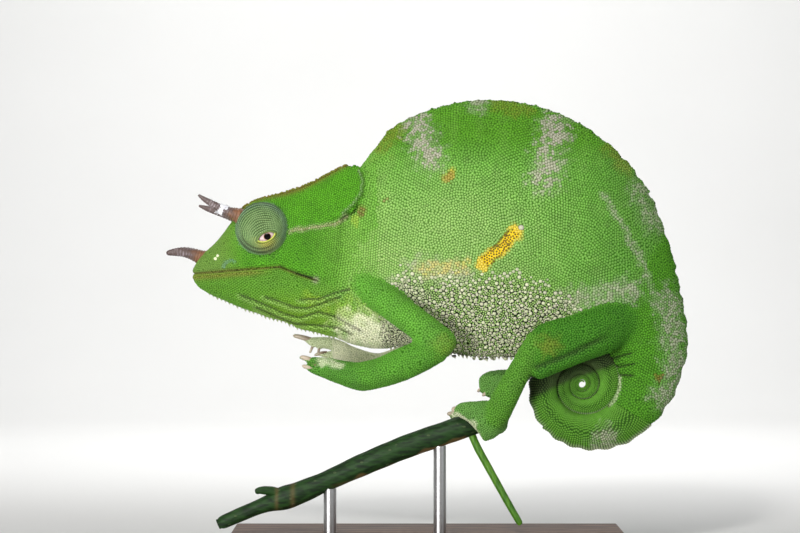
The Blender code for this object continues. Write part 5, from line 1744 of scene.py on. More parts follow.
    def _measured(self, points: Array, gaps: Array) -> Array:
        """Return each root's width, fitted to the room that its neighbours leave."""
        near = self._near(points, 7)[:, 1:]
        distance = np.linalg.norm(points[:, None] - points[near], axis=2)
        share = distance / (0.5 * (gaps[:, None] + gaps[near]))
        share = np.sort(share, axis=1)[:, 1:].mean(axis=1)
        return gaps * share.clip(0.75, 1.3)

    def _side_hit(self, x: float, z: float, side: int) -> Array | None:
        """Find the hide at an x, z place from one side of the animal."""
        return self.hide.surface.hit((x, side * self.ray_start, z), (0, -side, 0), self.ray_reach)

    def _planted(self, rows: Iterable[tuple[float, float, float]],
                 sides: Sequence[int] = (-1, 1), least: float = 0.0) -> Roots:
        """Root scales where rays from the sides meet the hide.

        Args:
            rows: The x, z place and width of each scale.
            sides: The sides of the animal to plant.
            least: The nearest that a root may lie to the middle plane.

        Returns:
            Roots that stay where they are.
        """
        points, gaps = [], []
        for x, z, gap in rows:
            for side in sides:
                found = self._side_hit(x, z, side)
                if found is not None and abs(found[1]) >= least:
                    points.append(found)
                    gaps.append(gap)
        return Roots.of(points, gaps)

    def _turret_rings(self) -> Roots:
        """Ring the eye turrets with fine concentric rows round the lids."""
        places, rows = [], self.turret_rows
        tilt = math.radians(FACE.lid_tilt)
        for row in range(rows):
            share = row / (rows - 1)
            centre = (FACE.lid[0] + (FACE.turret[0] - FACE.lid[0]) * share,
                      FACE.lid[1] + (FACE.turret[2] - FACE.lid[1]) * share)
            long = 4.5 + (FACE.turret_radius - 4.8) * share
            short = 2.3 + (FACE.turret_radius - 2.6) * share
            gap = 0.56 + 0.12 * share
            sway = 0.3 * share * (1 - share) * 4
            around = int(math.pi * (3 * (long + short)
                                    - math.sqrt((3 * long + short) * (long + 3 * short)))
                         / (gap * 1.05))
            lean = tilt * (1 - share)
            for step in range(around):
                turn = 2 * math.pi * (step + 0.5 * (row % 2)) / around
                wave = sway * (math.sin(3 * turn + 0.5 * row) * 0.6
                               + math.sin(7 * turn - 0.9 * row) * 0.4)
                across = (long + wave) * math.cos(turn)
                up = (short + wave) * math.sin(turn)
                x = centre[0] + across * math.cos(lean) - up * math.sin(lean)
                z = centre[1] + across * math.sin(lean) + up * math.cos(lean)
                places.append((x, z, gap))
        return self._planted(places, (-1,)).plus(self._planted(places, (1,)))

    @staticmethod
    def coil_rings(start: float, end: float) -> tuple[list, list, list]:
        """Ring the tail with rows that narrow towards its tip.

        Args:
            start: Angle along the coil where the rows start.
            end: Angle where they end.

        Returns:
            Points, widths and normals.
        """
        points, gaps, normals = [], [], []
        angle, row = start, 0
        while angle < end:
            middle, high, wide = (float(value) for value in COIL.middle(angle))
            gap = min(max(0.42 + 0.1 * high, 0.46), 0.9)
            around = max(6, int(math.pi * (high + wide) * 1.06 / gap))
            turns = 2 * math.pi * (np.arange(around) + 0.5 * (row % 2)) / around
            places, ways = COIL.place(np.full(around, angle), turns,
                                      np.full(around, COIL.scale_depth))
            hidden = (np.cos(turns) < -0.93) & (angle > 150.0)
            hidden |= (np.cos(turns) > 0.93) & (angle > 404.0)
            points.extend(places[~hidden])
            normals.extend(ways[~hidden])
            gaps.extend([gap] * int((~hidden).sum()))
            angle += math.degrees(gap * 0.9 / (middle + 0.3 * high))
            row += 1
        return points, gaps, normals

    def _spots(self) -> Roots:
        """Root the brown scales of the yellow patch and the single pale flecks."""
        return self._planted(YELLOW_SPOTS + tuple(fleck[:3] for fleck in FLECKS))

    def _rows(self) -> Roots:
        """Line the lips and the crest behind the eye with rows of scales."""
        rows = []
        lines = [(FACE.mouth, 0.75, 0.72), (FACE.mouth, -0.75, 0.72), (FACE.crest, 0.0, 0.84)]
        for line, shift, gap in lines:
            table = np.c_[np.array(line), np.zeros(len(line))]
            length = float(np.linalg.norm(np.diff(table[:, :2], axis=0), axis=1).sum())
            rows.extend((x, z + shift, gap) for x, z, _ in course(table, int(length / gap))
                        if x > -86.5)
        return self._planted(rows, least=2.5)


@dataclass
class Unwrap:
    """A flat map of the skin's own shape, which gives each scale its place on the map."""

    surface: Surface
    triangles: int = 9000
    tree: BVHTree = field(init=False)
    corners: Array = field(init=False)
    places: Array = field(init=False)

    def make(self) -> None:
        """Thin a copy of the skin and unwrap it."""
        mesh = mesh_from("map", self.surface.points, self.surface.triangles)

        def thin(holder: bpy.types.Object) -> None:
            """Thin the mesh evenly."""
            step = holder.modifiers.new("thin", "DECIMATE")
            step.ratio = self.triangles / len(self.surface.triangles)
        mesh = evaluated(mesh, thin)
        holder = linked("map_holder", mesh)
        bpy.context.view_layer.objects.active = holder
        holder.select_set(True)
        mesh.uv_layers.new(name="map")
        bpy.ops.object.mode_set(mode="EDIT")
        bpy.ops.mesh.select_all(action="SELECT")
        bpy.ops.uv.smart_project(angle_limit=math.radians(66.0), island_margin=0.004)
        bpy.ops.object.mode_set(mode="OBJECT")
        points, triangles = arrays_of(mesh)
        loops = np.empty(len(mesh.loop_triangles) * 3, dtype=np.int64)
        mesh.loop_triangles.foreach_get("loops", loops)
        flat = np.empty(len(mesh.loops) * 2)
        mesh.uv_layers["map"].data.foreach_get("uv", flat)
        self.places = flat.reshape(-1, 2)[loops.reshape(-1, 3)]
        self.corners = points[triangles]
        self.tree = BVHTree.FromPolygons(points.tolist(), triangles.tolist())
        bpy.data.objects.remove(holder)
        bpy.data.meshes.remove(mesh)

    def at(self, points: Array) -> Array:
        """Return the map's place for points on the skin, as rows of u, v, 0."""
        found = [self.tree.find_nearest(Vector(point)) for point in points]
        onto = np.array([place[0] for place in found])
        index = np.array([place[2] for place in found])
        first, second, third = (self.corners[index][:, corner] for corner in range(3))
        whole = np.cross(second - first, third - first)
        size = np.maximum((whole * whole).sum(axis=1), 1e-12)
        share_b = (np.cross(onto - first, third - first) * whole).sum(axis=1) / size
        share_c = (np.cross(second - first, onto - first) * whole).sum(axis=1) / size
        shares = np.stack([1 - share_b - share_c, share_b, share_c], axis=1).clip(0, 1)
        flat = (self.places[index] * shares[:, :, None]).sum(axis=1)
        return np.c_[flat * 0.99, np.zeros(len(flat))]


@dataclass(frozen=True)
class Dome:
    """The shape of one scale, with a footprint of radius 1 and a height of 1."""

    sides: int
    rings: tuple[tuple[float, float], ...]
    uneven: float
    seed: int
    lean: float = 0.0

    def mesh(self, name: str) -> bpy.types.Mesh:
        """Build the shape."""
        rng = np.random.default_rng(self.seed)
        wobble = 1 + rng.uniform(-self.uneven, self.uneven, self.sides)
        turns = (np.arange(self.sides) + rng.uniform(-0.2, 0.2, self.sides) * 4 * self.uneven)
        turns = turns * 2 * math.pi / self.sides
        points, crowns = [], []
        for radius, height in self.rings:
            drift = self.lean * max(height, 0.0) ** 1.5
            for turn, wide in zip(turns, wobble):
                points.append((radius * wide * math.cos(turn) + drift,
                               radius * wide * math.sin(turn), height))
                crowns.append(max(height, 0.0))
        points.append((self.lean, 0.0, 1.0))
        crowns.append(1.0)
        faces = grid_faces(len(self.rings), self.sides)
        last = (len(self.rings) - 1) * self.sides
        for side in range(self.sides):
            faces.append((last + side, last + (side + 1) % self.sides, len(points) - 1))
        points = np.array(points)
        petal = np.c_[(points[:, :2] * 0.4 + 0.5).clip(0, 1), np.zeros(len(points))]
        return mesh_from(name, points / MM, faces, crown=np.array(crowns), petal=petal)


GRANULE = ((1.0, -0.5), (0.86, 0.5), (0.42, 0.94))
SHAPES = (
    *(Dome(sides, ((1.0, -0.3), (0.72, 0.62)), 0.07, 10 + index)
      for index, sides in enumerate((6, 7, 6, 7))),
    Dome(8, GRANULE, 0.06, 20),
    Dome(9, GRANULE, 0.05, 21),
    Dome(6, ((1.0, -0.4), (0.6, 0.35)), 0.06, 30, 0.3),
    Dome(8, ((0.9, -0.4), (0.98, 0.3), (0.6, 0.85)), 0.07, 31),
)
SMALL, BIG, CONE, BEAD = (0, 1, 2, 3), (4, 5), 6, 7


class Setter(Graph):
    """Sets shapes on points with Geometry Nodes, turned to the surface and given their map."""

    def __init__(self, patch: float = 0.003) -> None:
        """Make the shapes and the node tree."""
        self.shapes = bpy.data.collections.new("scale shapes")
        for index, shape in enumerate(SHAPES):
            mesh = shape.mesh(f"shape_{index}")
            self.shapes.objects.link(bpy.data.objects.new(f"shape_{index}", mesh))
        self.patch = patch
        super().__init__(bpy.data.node_groups.new("set shapes on points", "GeometryNodeTree"))
        self._build()

    def _read(self, name: str, kind: str = "FLOAT_VECTOR") -> bpy.types.NodeSocket:
        """Read an attribute of the points."""
        node = self.node("GeometryNodeInputNamedAttribute", {"data_type": kind}, {"Name": name})
        return node.outputs["Attribute"]

    def _build(self) -> None:
        """Build the node tree."""
        face = self.tree.interface
        face.new_socket("Points", in_out="INPUT", socket_type="NodeSocketGeometry")
        face.new_socket("Shapes", in_out="INPUT", socket_type="NodeSocketCollection")
        face.new_socket("Finish", in_out="INPUT", socket_type="NodeSocketMaterial")
        face.new_socket("Patch", in_out="INPUT", socket_type="NodeSocketFloat")
        face.new_socket("Scales", in_out="OUTPUT", socket_type="NodeSocketGeometry")
        given = self.node("NodeGroupInput").outputs
        shapes = self.node("GeometryNodeCollectionInfo", None,
                           {"Collection": given["Shapes"], "Separate Children": True,
                            "Reset Children": True})
        stand = self.node("FunctionNodeAlignRotationToVector", {"axis": "Z"},
                          {"Vector": self._read("up")})
        turn = self.node("FunctionNodeAlignRotationToVector", {"axis": "X", "pivot_axis": "Z"},
                         {"Rotation": stand.outputs[0], "Vector": self._read("lie")})
        copies = self.node("GeometryNodeInstanceOnPoints", None,
                           {"Points": given["Points"], "Instance": shapes.outputs[0],
                            "Pick Instance": True, "Instance Index": self._read("shape", "INT"),
                            "Rotation": turn.outputs[0], "Scale": self._read("size")})
        plain = self.node("GeometryNodeRealizeInstances", None, {"Geometry": copies.outputs[0]})
        petal = self.node("ShaderNodeVectorMath", {"operation": "SCALE"},
                          {0: self._read("petal"), "Scale": given["Patch"]})
        place = self.node("ShaderNodeVectorMath", {"operation": "ADD"},
                          {0: self._read("root_place"), 1: petal.outputs[0]})
        mapped = self.node("GeometryNodeStoreNamedAttribute",
                           {"data_type": "FLOAT2", "domain": "CORNER"},
                           {"Geometry": plain.outputs[0], "Name": UV_NAME,
                            "Value": place.outputs[0]})
        dressed = self.node("GeometryNodeSetMaterial", None,
                            {"Geometry": mapped.outputs[0], "Material": given["Finish"]})
        self.node("NodeGroupOutput", None, {"Scales": dressed.outputs[0]})

    def set_on(self, name: str, points: Array, finish: bpy.types.Material,
               amounts: dict[str, Array]) -> None:
        """Add a piece of scales.

        Args:
            name: The piece's name.
            points: Where the scales' roots are.
            finish: Their material.
            amounts: For each root: up, lie, size, shape, root_place and what the material reads.
        """
        mesh = mesh_from(name, points, [], **amounts)

        def instance(holder: bpy.types.Object) -> None:
            """Run the node tree with its shapes, finish and patch."""
            step = holder.modifiers.new("scales", "NODES")
            step.node_group = self.tree
            values = {"Shapes": self.shapes, "Finish": finish, "Patch": self.patch}
            for item in self.tree.interface.items_tree:
                if item.in_out == "INPUT" and item.name in values:
                    step[item.identifier] = values[item.name]
        made = evaluated(mesh, instance)
        made.name = name
        for extra in ("up", "lie", "size", "shape", "root_place", "petal"):
            if extra in made.attributes:
                made.attributes.remove(made.attributes[extra])
        made.shade_smooth()
        show(name, made, finish, "turret_skin" if name == "turret_scales" else "skin")


@dataclass
class Coat:
    """The scales of the whole animal, in pieces by body part."""

    hide: Hide
    markings: Markings
    unwrap: Unwrap
    setter: Setter
    rng: np.random.Generator
    finish: ScaleFinish = field(default_factory=ScaleFinish)
    height: float = 0.3
    footprint: Place = (0.575, 0.56)
    fleck_reach: float = 0.3
    plots: tuple[tuple[str, tuple[str, ...], int], ...] = (
        ("head_scales", ("head",), 0), ("jaw_scales", ("lower_jaw",), 0),
        ("turret_scales", ("eye_turret",), 0), ("neck_scales", ("neck",), 0),
        ("flank_scales_left", ("torso",), -1), ("flank_scales_right", ("torso",), 1),
        ("arm_scales", ("upper_arm", "forearm", "hand"), 0),
        ("leg_scales", ("thigh", "shin", "foot"), 0), ("rump_scales", ("tail_root",), 0),
    )

    def amounts(self, marks: dict, points: Array, normals: Array, widths: Array,
                shapes: Array, lift: Array) -> dict[str, Array]:
        """Return everything that the scales at these roots need."""
        lie = np.array([1.0, 0.0, -0.35]) + self.rng.normal(0, 0.35, (len(points), 3))
        lie = unit(lie - normals * (lie * normals).sum(axis=1)[:, None])
        long, wide = self.footprint
        size = np.stack([widths * long, widths * wide, lift], axis=1) * MM
        made = dict(marks)
        made.update(up=normals, lie=lie, size=size, shape=shapes.astype(np.int64),
                    root_place=self.unwrap.at(points))
        return made

    def build(self) -> None:
        """Plant the hide and add every piece of the coat."""
        seeder = Seeder(self.hide, self.rng)
        points, widths, big, triangles = seeder.grow(self.markings)
        owner = self.hide.owner[self.hide.surface.triangles[triangles][:, 0]]
        normals = self.hide.surface.normals_at(triangles)
        shapes = self.rng.choice(SMALL, len(points))
        shapes[big] = self.rng.choice(BIG, big.sum())
        zone = self.markings.granular(points, owner)
        widths = widths * (1 - 0.16 * zone)
        lift = widths * self.height * self.rng.uniform(0.85, 1.15, len(points))
        marks = self.markings.on_hide(points, triangles, self.rng)
        made = self.amounts(marks, points, normals, widths, shapes, lift)
        low = smooth_step(100.0, 86.0, points[:, 2])
        chance = self.rng.uniform(0, 1, len(points))
        pale = (zone > 0.1) & (big | (chance < zone * (0.1 + 0.35 * low)))
        made[Pigment.LILAC.label][pale] = self.rng.uniform(0.5, 1.0, pale.sum())
        made[Pigment.CREAM.label][pale] = self.rng.uniform(0.0, 0.8, pale.sum()) ** 1.8
        made["tone"][pale] = self.rng.uniform(0.0, 0.4, pale.sum())
        for x, z, _, pigment in FLECKS:
            chosen = np.hypot(points[:, 0] - x, points[:, 2] - z) < self.fleck_reach
            for other in list(Pigment)[1:]:
                made[other.label][chosen] = 0.9 * (other is pigment)
            made["gap_depth"][chosen] = 0.0
        material = self.finish.material()
        for name, parts, side in self.plots:
            chosen = in_parts(owner, *parts)
            if side:
                chosen &= (points[:, 1] * side > 0) | ((points[:, 1] == 0) & (side > 0))
            picked = {key: values[chosen] for key, values in made.items()}
            self.setter.set_on(name, points[chosen], material, picked)
        self._tail("tail_base_scales", 31.0, 132.0, material)
        self._tail("tail_coil_scales", 132.5, COIL.end - 3.0, material)
        self._crests(material)

    def _tail(self, name: str, start: float, end: float, material: bpy.types.Material) -> None:
        """Add the rows of scales on one length of the tail."""
        rows = Seeder.coil_rings(start, end)
        points, widths, normals = (np.array(row) for row in rows)
        nearest, triangles = self.hide.surface.settle(points)
        away = points - nearest
        outside = (away * self.hide.surface.normals_at(triangles)).sum(axis=1) > 0.05
        outside |= np.linalg.norm(away, axis=1) > 4.0
        points, widths, normals = points[outside], widths[outside], normals[outside]
        shapes = self.rng.choice(SMALL, len(points))
        lift = widths * self.height * self.rng.uniform(0.85, 1.15, len(points))
        marks = self.markings.on_coil(points, self.rng)
        made = self.amounts(marks, points, normals, widths, shapes, lift)
        # Painted highlight on the outer edge of each ring of the coil, strongest on the side that
        # faces down and towards the rump.
        ray = unit((points - (COIL.x, 0.0, COIL.z)) * (1, 0, 1))
        edge = smooth_step(0.6, 0.9, (normals * ray).sum(axis=1))
        edge *= 0.35 + 0.65 * smooth_step(0.0, 0.9, ray @ (0.75, 0.0, -0.66))
        made[Pigment.CREAM.label] = np.maximum(made[Pigment.CREAM.label], 0.4 * edge)
        self.setter.set_on(name, points, material, made)

    def _crests(self, material: bpy.types.Material) -> None:
        """Set cones along back, belly and throat, and beads along the casque."""
        rows = [*self._outline(-28.0, 200.0, 1.1, 0.4, 0.32, Pigment.OLIVE, 0.25),
                *self._below(-82.0, -34.0, 1.5, 0.55, 1.15, Pigment.CREAM, 0.6),
                *self._below(-14.0, 40.0, 1.5, 0.66, 1.3, Pigment.CREAM, 0.95),
                *self._casque()]
        points = np.array([row[0] for row in rows])
        normals = unit(np.array([row[1] for row in rows]))
        radii, lift = np.array([row[2] for row in rows]), np.array([row[3] for row in rows])
        shapes = np.array([row[4] for row in rows])
        _, triangles = self.hide.surface.settle(points)
        marks = self.markings.on_hide(points, triangles, self.rng)
        made = self.amounts(marks, points, normals, radii * 2, shapes, lift)
        for index, row in enumerate(rows):
            made[row[5].label][index] = row[6]
        made["tone"] *= 0.4
        self.setter.set_on("crest_cones", points, material, made)

    def _outline(self, low: float, high: float, step: float, radius: float, lift: float,
                 pigment: Pigment, amount: float) -> Iterable[tuple]:
        """Yield cones along the back, met by rays towards the middle of the body."""
        centre = np.array([22.0, 0.0, 104.0])
        travelled, last = 0.0, None
        for degrees in np.arange(low, high, 0.25):
            turn = math.radians(degrees)
            out = np.array([math.cos(turn), 0.0, math.sin(turn)])
            found = self.hide.surface.hit(centre + out * 110.0, -out, 110.0)
            if found is None:
                continue
            if last is not None:
                travelled += float(np.linalg.norm(found - last))
            last = found
            if travelled >= step:
                travelled = 0.0
                _, triangle = self.hide.surface.settle(found[None])
                up = self.hide.surface.normals_at(triangle)[0]
                name = self.hide.node_of(triangle[0])
                if name in RIDGE:
                    size = self.rng.uniform(0.8, 1.15)
                    yield found, up, radius * size, lift * size, CONE, pigment, amount

    def _below(self, low: float, high: float, step: float, radius: float, lift: float,
               pigment: Pigment, amount: float) -> Iterable[tuple]:
        """Yield cones along the midline of belly or throat, met by rays from below."""
        for x in np.arange(low, high, step):
            found = self.hide.surface.hit((x, 0.01, 62.0), (0, 0, 1), 60.0)
            if found is None:
                continue
            _, triangle = self.hide.surface.settle(found[None])
            name = self.hide.node_of(triangle[0])
            if name in ("torso", "neck", "lower_jaw"):
                size = self.rng.uniform(0.8, 1.2)
                yield (found, np.array([0.0, 0.0, -1.0]), radius * size, lift * size, CONE,
                       pigment, amount)

    def _casque(self) -> Iterable[tuple]:
        """Yield beads along the brows and the top edge of the casque."""
        table = np.c_[np.array(FACE.top), np.zeros(len(FACE.top))]
        for x, _, _ in course(table, 54):
            best = None
            for y in np.arange(0.0, 8.1, 0.8):
                found = self.hide.surface.hit((x, y, 165.0), (0, 0, -1), 60.0)
                if found is not None and (best is None or found[2] > best[2] + 0.05):
                    best = found
            for y in sorted({-best[1], best[1], best[1] - 0.9, 0.9 - best[1]}):
                found = self.hide.surface.hit((x + self.rng.normal(0, 0.2), y, 165.0),
                                              (0, 0, -1), 60.0)
                if found is not None:
                    wide, high = self.rng.uniform(0.4, 0.68), self.rng.uniform(0.4, 0.95)
                    up = np.array([-0.35, y * 0.08, 1.0])
                    yield found, up, wide, high, BEAD, Pigment.RUST, self.rng.uniform(0.35, 0.8)


@dataclass
class Eyes:
    """Both eyeballs and the rolled lids that frame them."""

    surface: Surface
    depth: float = 14.3
    ball: tuple[float, float, float] = (3.7, 1.45, 2.3)
    rim: float = 15.9

    def _turned(self, points: Array, side: int) -> Array:
        """Tilt points about the lids' middle and put them on one side."""
        tilt = math.radians(FACE.lid_tilt)
        x = points[:, 0] * math.cos(tilt) - points[:, 2] * math.sin(tilt)
        z = points[:, 0] * math.sin(tilt) + points[:, 2] * math.cos(tilt)
        return np.stack([FACE.lid[0] + x, side * (self.depth + points[:, 1]),
                         FACE.lid[1] + z], axis=1)

    def build(self) -> None:
        """Add the eyes and lids."""
        wet, rim = EyeFinish().material(), LidFinish().material()
        for side, label in ((-1, "left"), (1, "right")):
            made = bmesh.new()
            bmesh.ops.create_uvsphere(made, u_segments=40, v_segments=24, radius=1.0)
            points = np.array([vertex.co for vertex in made.verts]) * self.ball
            faces = [[vertex.index for vertex in face.verts] for face in made.faces]
            made.free()
            if side < 0:
                faces = [face[::-1] for face in faces]
            mesh = mesh_from(f"eye_{label}_ball", self._turned(points, side), faces)
            show(f"eyeball_{label}", mesh, wet, "eye", (f"eye_{label}",))
            show(f"lids_{label}", self._lids(side), rim, "turret_skin")

    def _lids(self, side: int) -> bpy.types.Mesh:
        """Sweep a flat roll round the almond between the lids."""
        count, sides = 80, 14
        turns = np.linspace(0, 2 * math.pi, count, endpoint=False)

        def almond(long: float, short: float) -> Array:
            """Return an almond outline with these half sizes."""
            rise = np.sign(np.sin(turns)) * np.abs(np.sin(turns)) ** 1.25
            return self._turned(np.stack([long * np.cos(turns), np.zeros(count), short * rise],
                                         axis=1), side)
        outer, inner = almond(*FACE.lid_outer), almond(*FACE.lid_half)
        rim = outer.copy()
        rim[:, 1] = side * 18.0
        rim = self.surface.settle(rim)[0][:, 1] * side
        for _ in range(10):
            rim = 0.5 * rim + 0.25 * (np.roll(rim, 1) + np.roll(rim, -1))
        middle = (outer + inner) / 2
        points = []
        for turn in np.linspace(0, 2 * math.pi, sides, endpoint=False):
            row = middle + (outer - inner) / 2 * math.cos(turn) * 1.08
            share = 0.5 + 0.5 * math.cos(turn)
            row[:, 1] = side * (rim * share + self.rim * (1 - share) + 0.3 * math.sin(turn) - 0.1)
            points.append(row)
        points = np.array(points).transpose(1, 0, 2).reshape(-1, 3)
        faces = grid_faces(count, sides, closed=True)
        if side > 0:
            faces = [face[::-1] for face in faces]
        around = np.repeat(turns, sides)
        inward = np.tile(0.5 - 0.5 * np.cos(np.linspace(0, 2 * math.pi, sides, endpoint=False)),
                         count)
        lower = smooth_step(0.15, -0.35, np.sin(around))
        return mesh_from(f"lids_{side}", points, faces, lower=lower, inward=inward)


@dataclass(frozen=True)
class Horn:
    """One ringed horn along a table of x, y, z and radius."""

    name: str
    table: tuple[tuple[float, float, float, float], ...]
    ring_gap: float = 1.05
    relief: float = 0.09
    sides: int = 28
    steps: int = 130
    knots: int = 9

    def build(self, material: bpy.types.Material, rng: np.random.Generator) -> None:
        """Add the horn."""
        path = course(self.table, self.steps)
        length = float(np.linalg.norm(np.diff(path[:, :3], axis=0), axis=1).sum())
        along = np.linspace(0, 1, self.steps)
        drift = rng.uniform(-0.25, 0.25, self.knots)
        phase = along * length / self.ring_gap
        phase = phase + np.interp(along, np.linspace(0, 1, self.knots), drift)
        ridge = 0.5 + 0.5 * np.cos(2 * math.pi * phase)
        fade = smooth_step(0.04, 0.15, along) * smooth_step(0.0, 0.12, 1 - along)
        radii = path[:, 3] * (1 - self.relief * (1 - ridge) * fade)
        around = np.linspace(0, 2 * math.pi, self.sides, endpoint=False)
        lumps = 1 + 0.035 * np.sin(around * 3 + along[:, None] * 9) * fade[:, None]
        points, faces, share = tube(path[:, :3], radii[:, None] * lumps, self.sides)
        ring = np.concatenate([np.repeat(ridge, self.sides), [0.0, 0.5]])
        mesh = mesh_from(self.name, points, faces, along=share, ring=ring)
        show(self.name + "_ringed", mesh, material, "horn", (self.name,))


def brow_horn(side: int) -> Horn:
    """Return the horn over one eye; the right one bends down and back a little."""
    table = ((-67, 5.6, 124.4, 3.5), (-70.4, 6.2, 126, 3.05), (-73.6, 6.7, 127, 2.3),
             (-76.6, 7.2, 128.3, 1.7), (-79.6, 7.6, 130, 1.4), (-82.8, 7.9, 131.9, 1.05),
             (-85.4, 8.1, 133.7, 0.4))
    rows = []
    for index, (x, y, z, radius) in enumerate(table):
        share = (index / (len(table) - 1)) ** 1.5 if side > 0 else 0.0
        rows.append((x - 1.2 * share, side * y, z - 3.6 * share, radius))
    return Horn("horn_brow_left" if side < 0 else "horn_brow_right", tuple(rows))


@dataclass(frozen=True)
class ShedSkin:
    """Ragged scraps of dry shed skin that cling to the left brow horn."""

    root: tuple[float, float, float] = (-75.6, -7.0, 127.6)
    tip: tuple[float, float, float] = (-84.0, -8.0, 132.7)
    scraps: tuple[tuple[float, float, float, float, float, float], ...] = (
        (0.0, 0.30, 0.2, 4.6, 1.95, 0.7), (0.16, 0.16, 4.4, 1.9, 2.2, 1.3),
        (-0.05, 0.14, 1.9, 1.5, 2.1, 1.5), (0.45, 0.22, 2.6, 1.3, 1.5, 0.3),
        (0.62, 0.2, 3.4, 1.1, 1.3, 0.25), (0.5, 0.12, 4.9, 0.9, 1.45, 0.4),
    )

    def _scrap(self, start: float, length: float, turn: float, span: float, radius: float,
               flare: float, rng: np.random.Generator) -> tuple[Array, list, dict]:
        """Shape one scrap, as a torn strip part of the way round the horn."""
        first, last = np.array(self.root), np.array(self.tip)
        axis = unit(last - first)
        side = unit(np.cross(axis, (0.0, 1.0, 0.0)))
        beside = np.cross(axis, side)
        rows, cells = 40, 8
        torn = rng.uniform(0.35, 1.0, (rows, 2))
        points = []
        for row, angle in enumerate(np.linspace(turn, turn + span, rows)):
            edge = 0.55 + 0.45 * math.sin(3.0 * angle + start * 9)
            for place in np.linspace(-0.5, 0.5, cells):
                reach = place * torn[row, int(place > 0)] * (0.7 + 0.6 * edge)
                along = start + length * (0.5 + reach)
                lift = radius - 0.7 * along + flare * abs(place) ** 1.6 * edge
                lift += 0.12 * math.sin(5 * angle + 7 * place)
                centre = first + (last - first) * along
                points.append(centre + (side * math.cos(angle) + beside * math.sin(angle)) * lift)
        return np.array(points), grid_faces(rows, cells, wrapped=False), {}

    def build(self, rng: np.random.Generator) -> None:
        """Add the scraps."""
        points, faces, _ = joined([self._scrap(*scrap, rng) for scrap in self.scraps])

        def thicken(holder: bpy.types.Object) -> None:
            """Give the scraps their thickness."""
            step = holder.modifiers.new("thickness", "SOLIDIFY")
            step.thickness = 0.1 * MM
        mesh = evaluated(mesh_from("shed_skin", points, faces), thicken)
        show("shed_skin", mesh, ShedFinish().material(), "horn")


@dataclass(frozen=True)
class Claws:
    """Blunt curved claws of one hand or foot, as rows of root, tip and root radius."""

    node: str
    rows: tuple[tuple[tuple[float, float, float], tuple[float, float, float], float], ...]

    def parts(self) -> list[tuple[Array, list, dict[str, Array]]]:
        """Return the claws' shapes."""
        made = []
        for root, tip, radius in self.rows:
            start, end = np.array(root), np.array(tip)
            inset = start - unit(end - start) * 1.2
            share = np.linspace(0, 1, 14)
            path = inset + (end - inset) * share[:, None]
            path[:, 2] += 0.35 * np.sin(share * math.pi) * (radius > 0.8)
            taper = (1 - 0.28 * share) * np.sqrt(np.clip(1.0 - share ** 9, 0.03, 1))
            points, faces, along = tube(path, radius * taper, 14)
            made.append((points, faces, {"along": along}))
        return made


CLAWS = (
    Claws("hand_left", (((-42.2, -16.6, 71.9), (-47.3, -16.6, 73.9), 1.2),
                        ((-41.6, -16.2, 68.6), (-46.6, -16.0, 70.6), 1.05),
                        ((-39.6, -9.6, 71.0), (-43.4, -9.2, 71.6), 0.9))),
    Claws("hand_right", (((-43.6, 10, 78.7), (-51.2, 10.6, 80.9), 1.15),
                         ((-43.6, 9.8, 76.9), (-44.7, 9.6, 74.2), 0.58),
                         ((-41, 10, 76.6), (-41.9, 9.8, 73.4), 0.58),
                         ((-39.6, 14.6, 73.8), (-43.2, 14.2, 73.2), 0.85))),
    Claws("foot_left", (((11, -8.6, 53.6), (8.6, -8.6, 53.7), 1.5),
                        ((10, 4, 51.2), (7.2, 3.8, 51.5), 1.05))),
    Claws("foot_right", (((23.4, 7.4, 59.4), (20.6, 7.2, 58.2), 0.95),
                         ((21.4, 10.4, 60.8), (18.8, 10, 59.6), 0.85))),
)


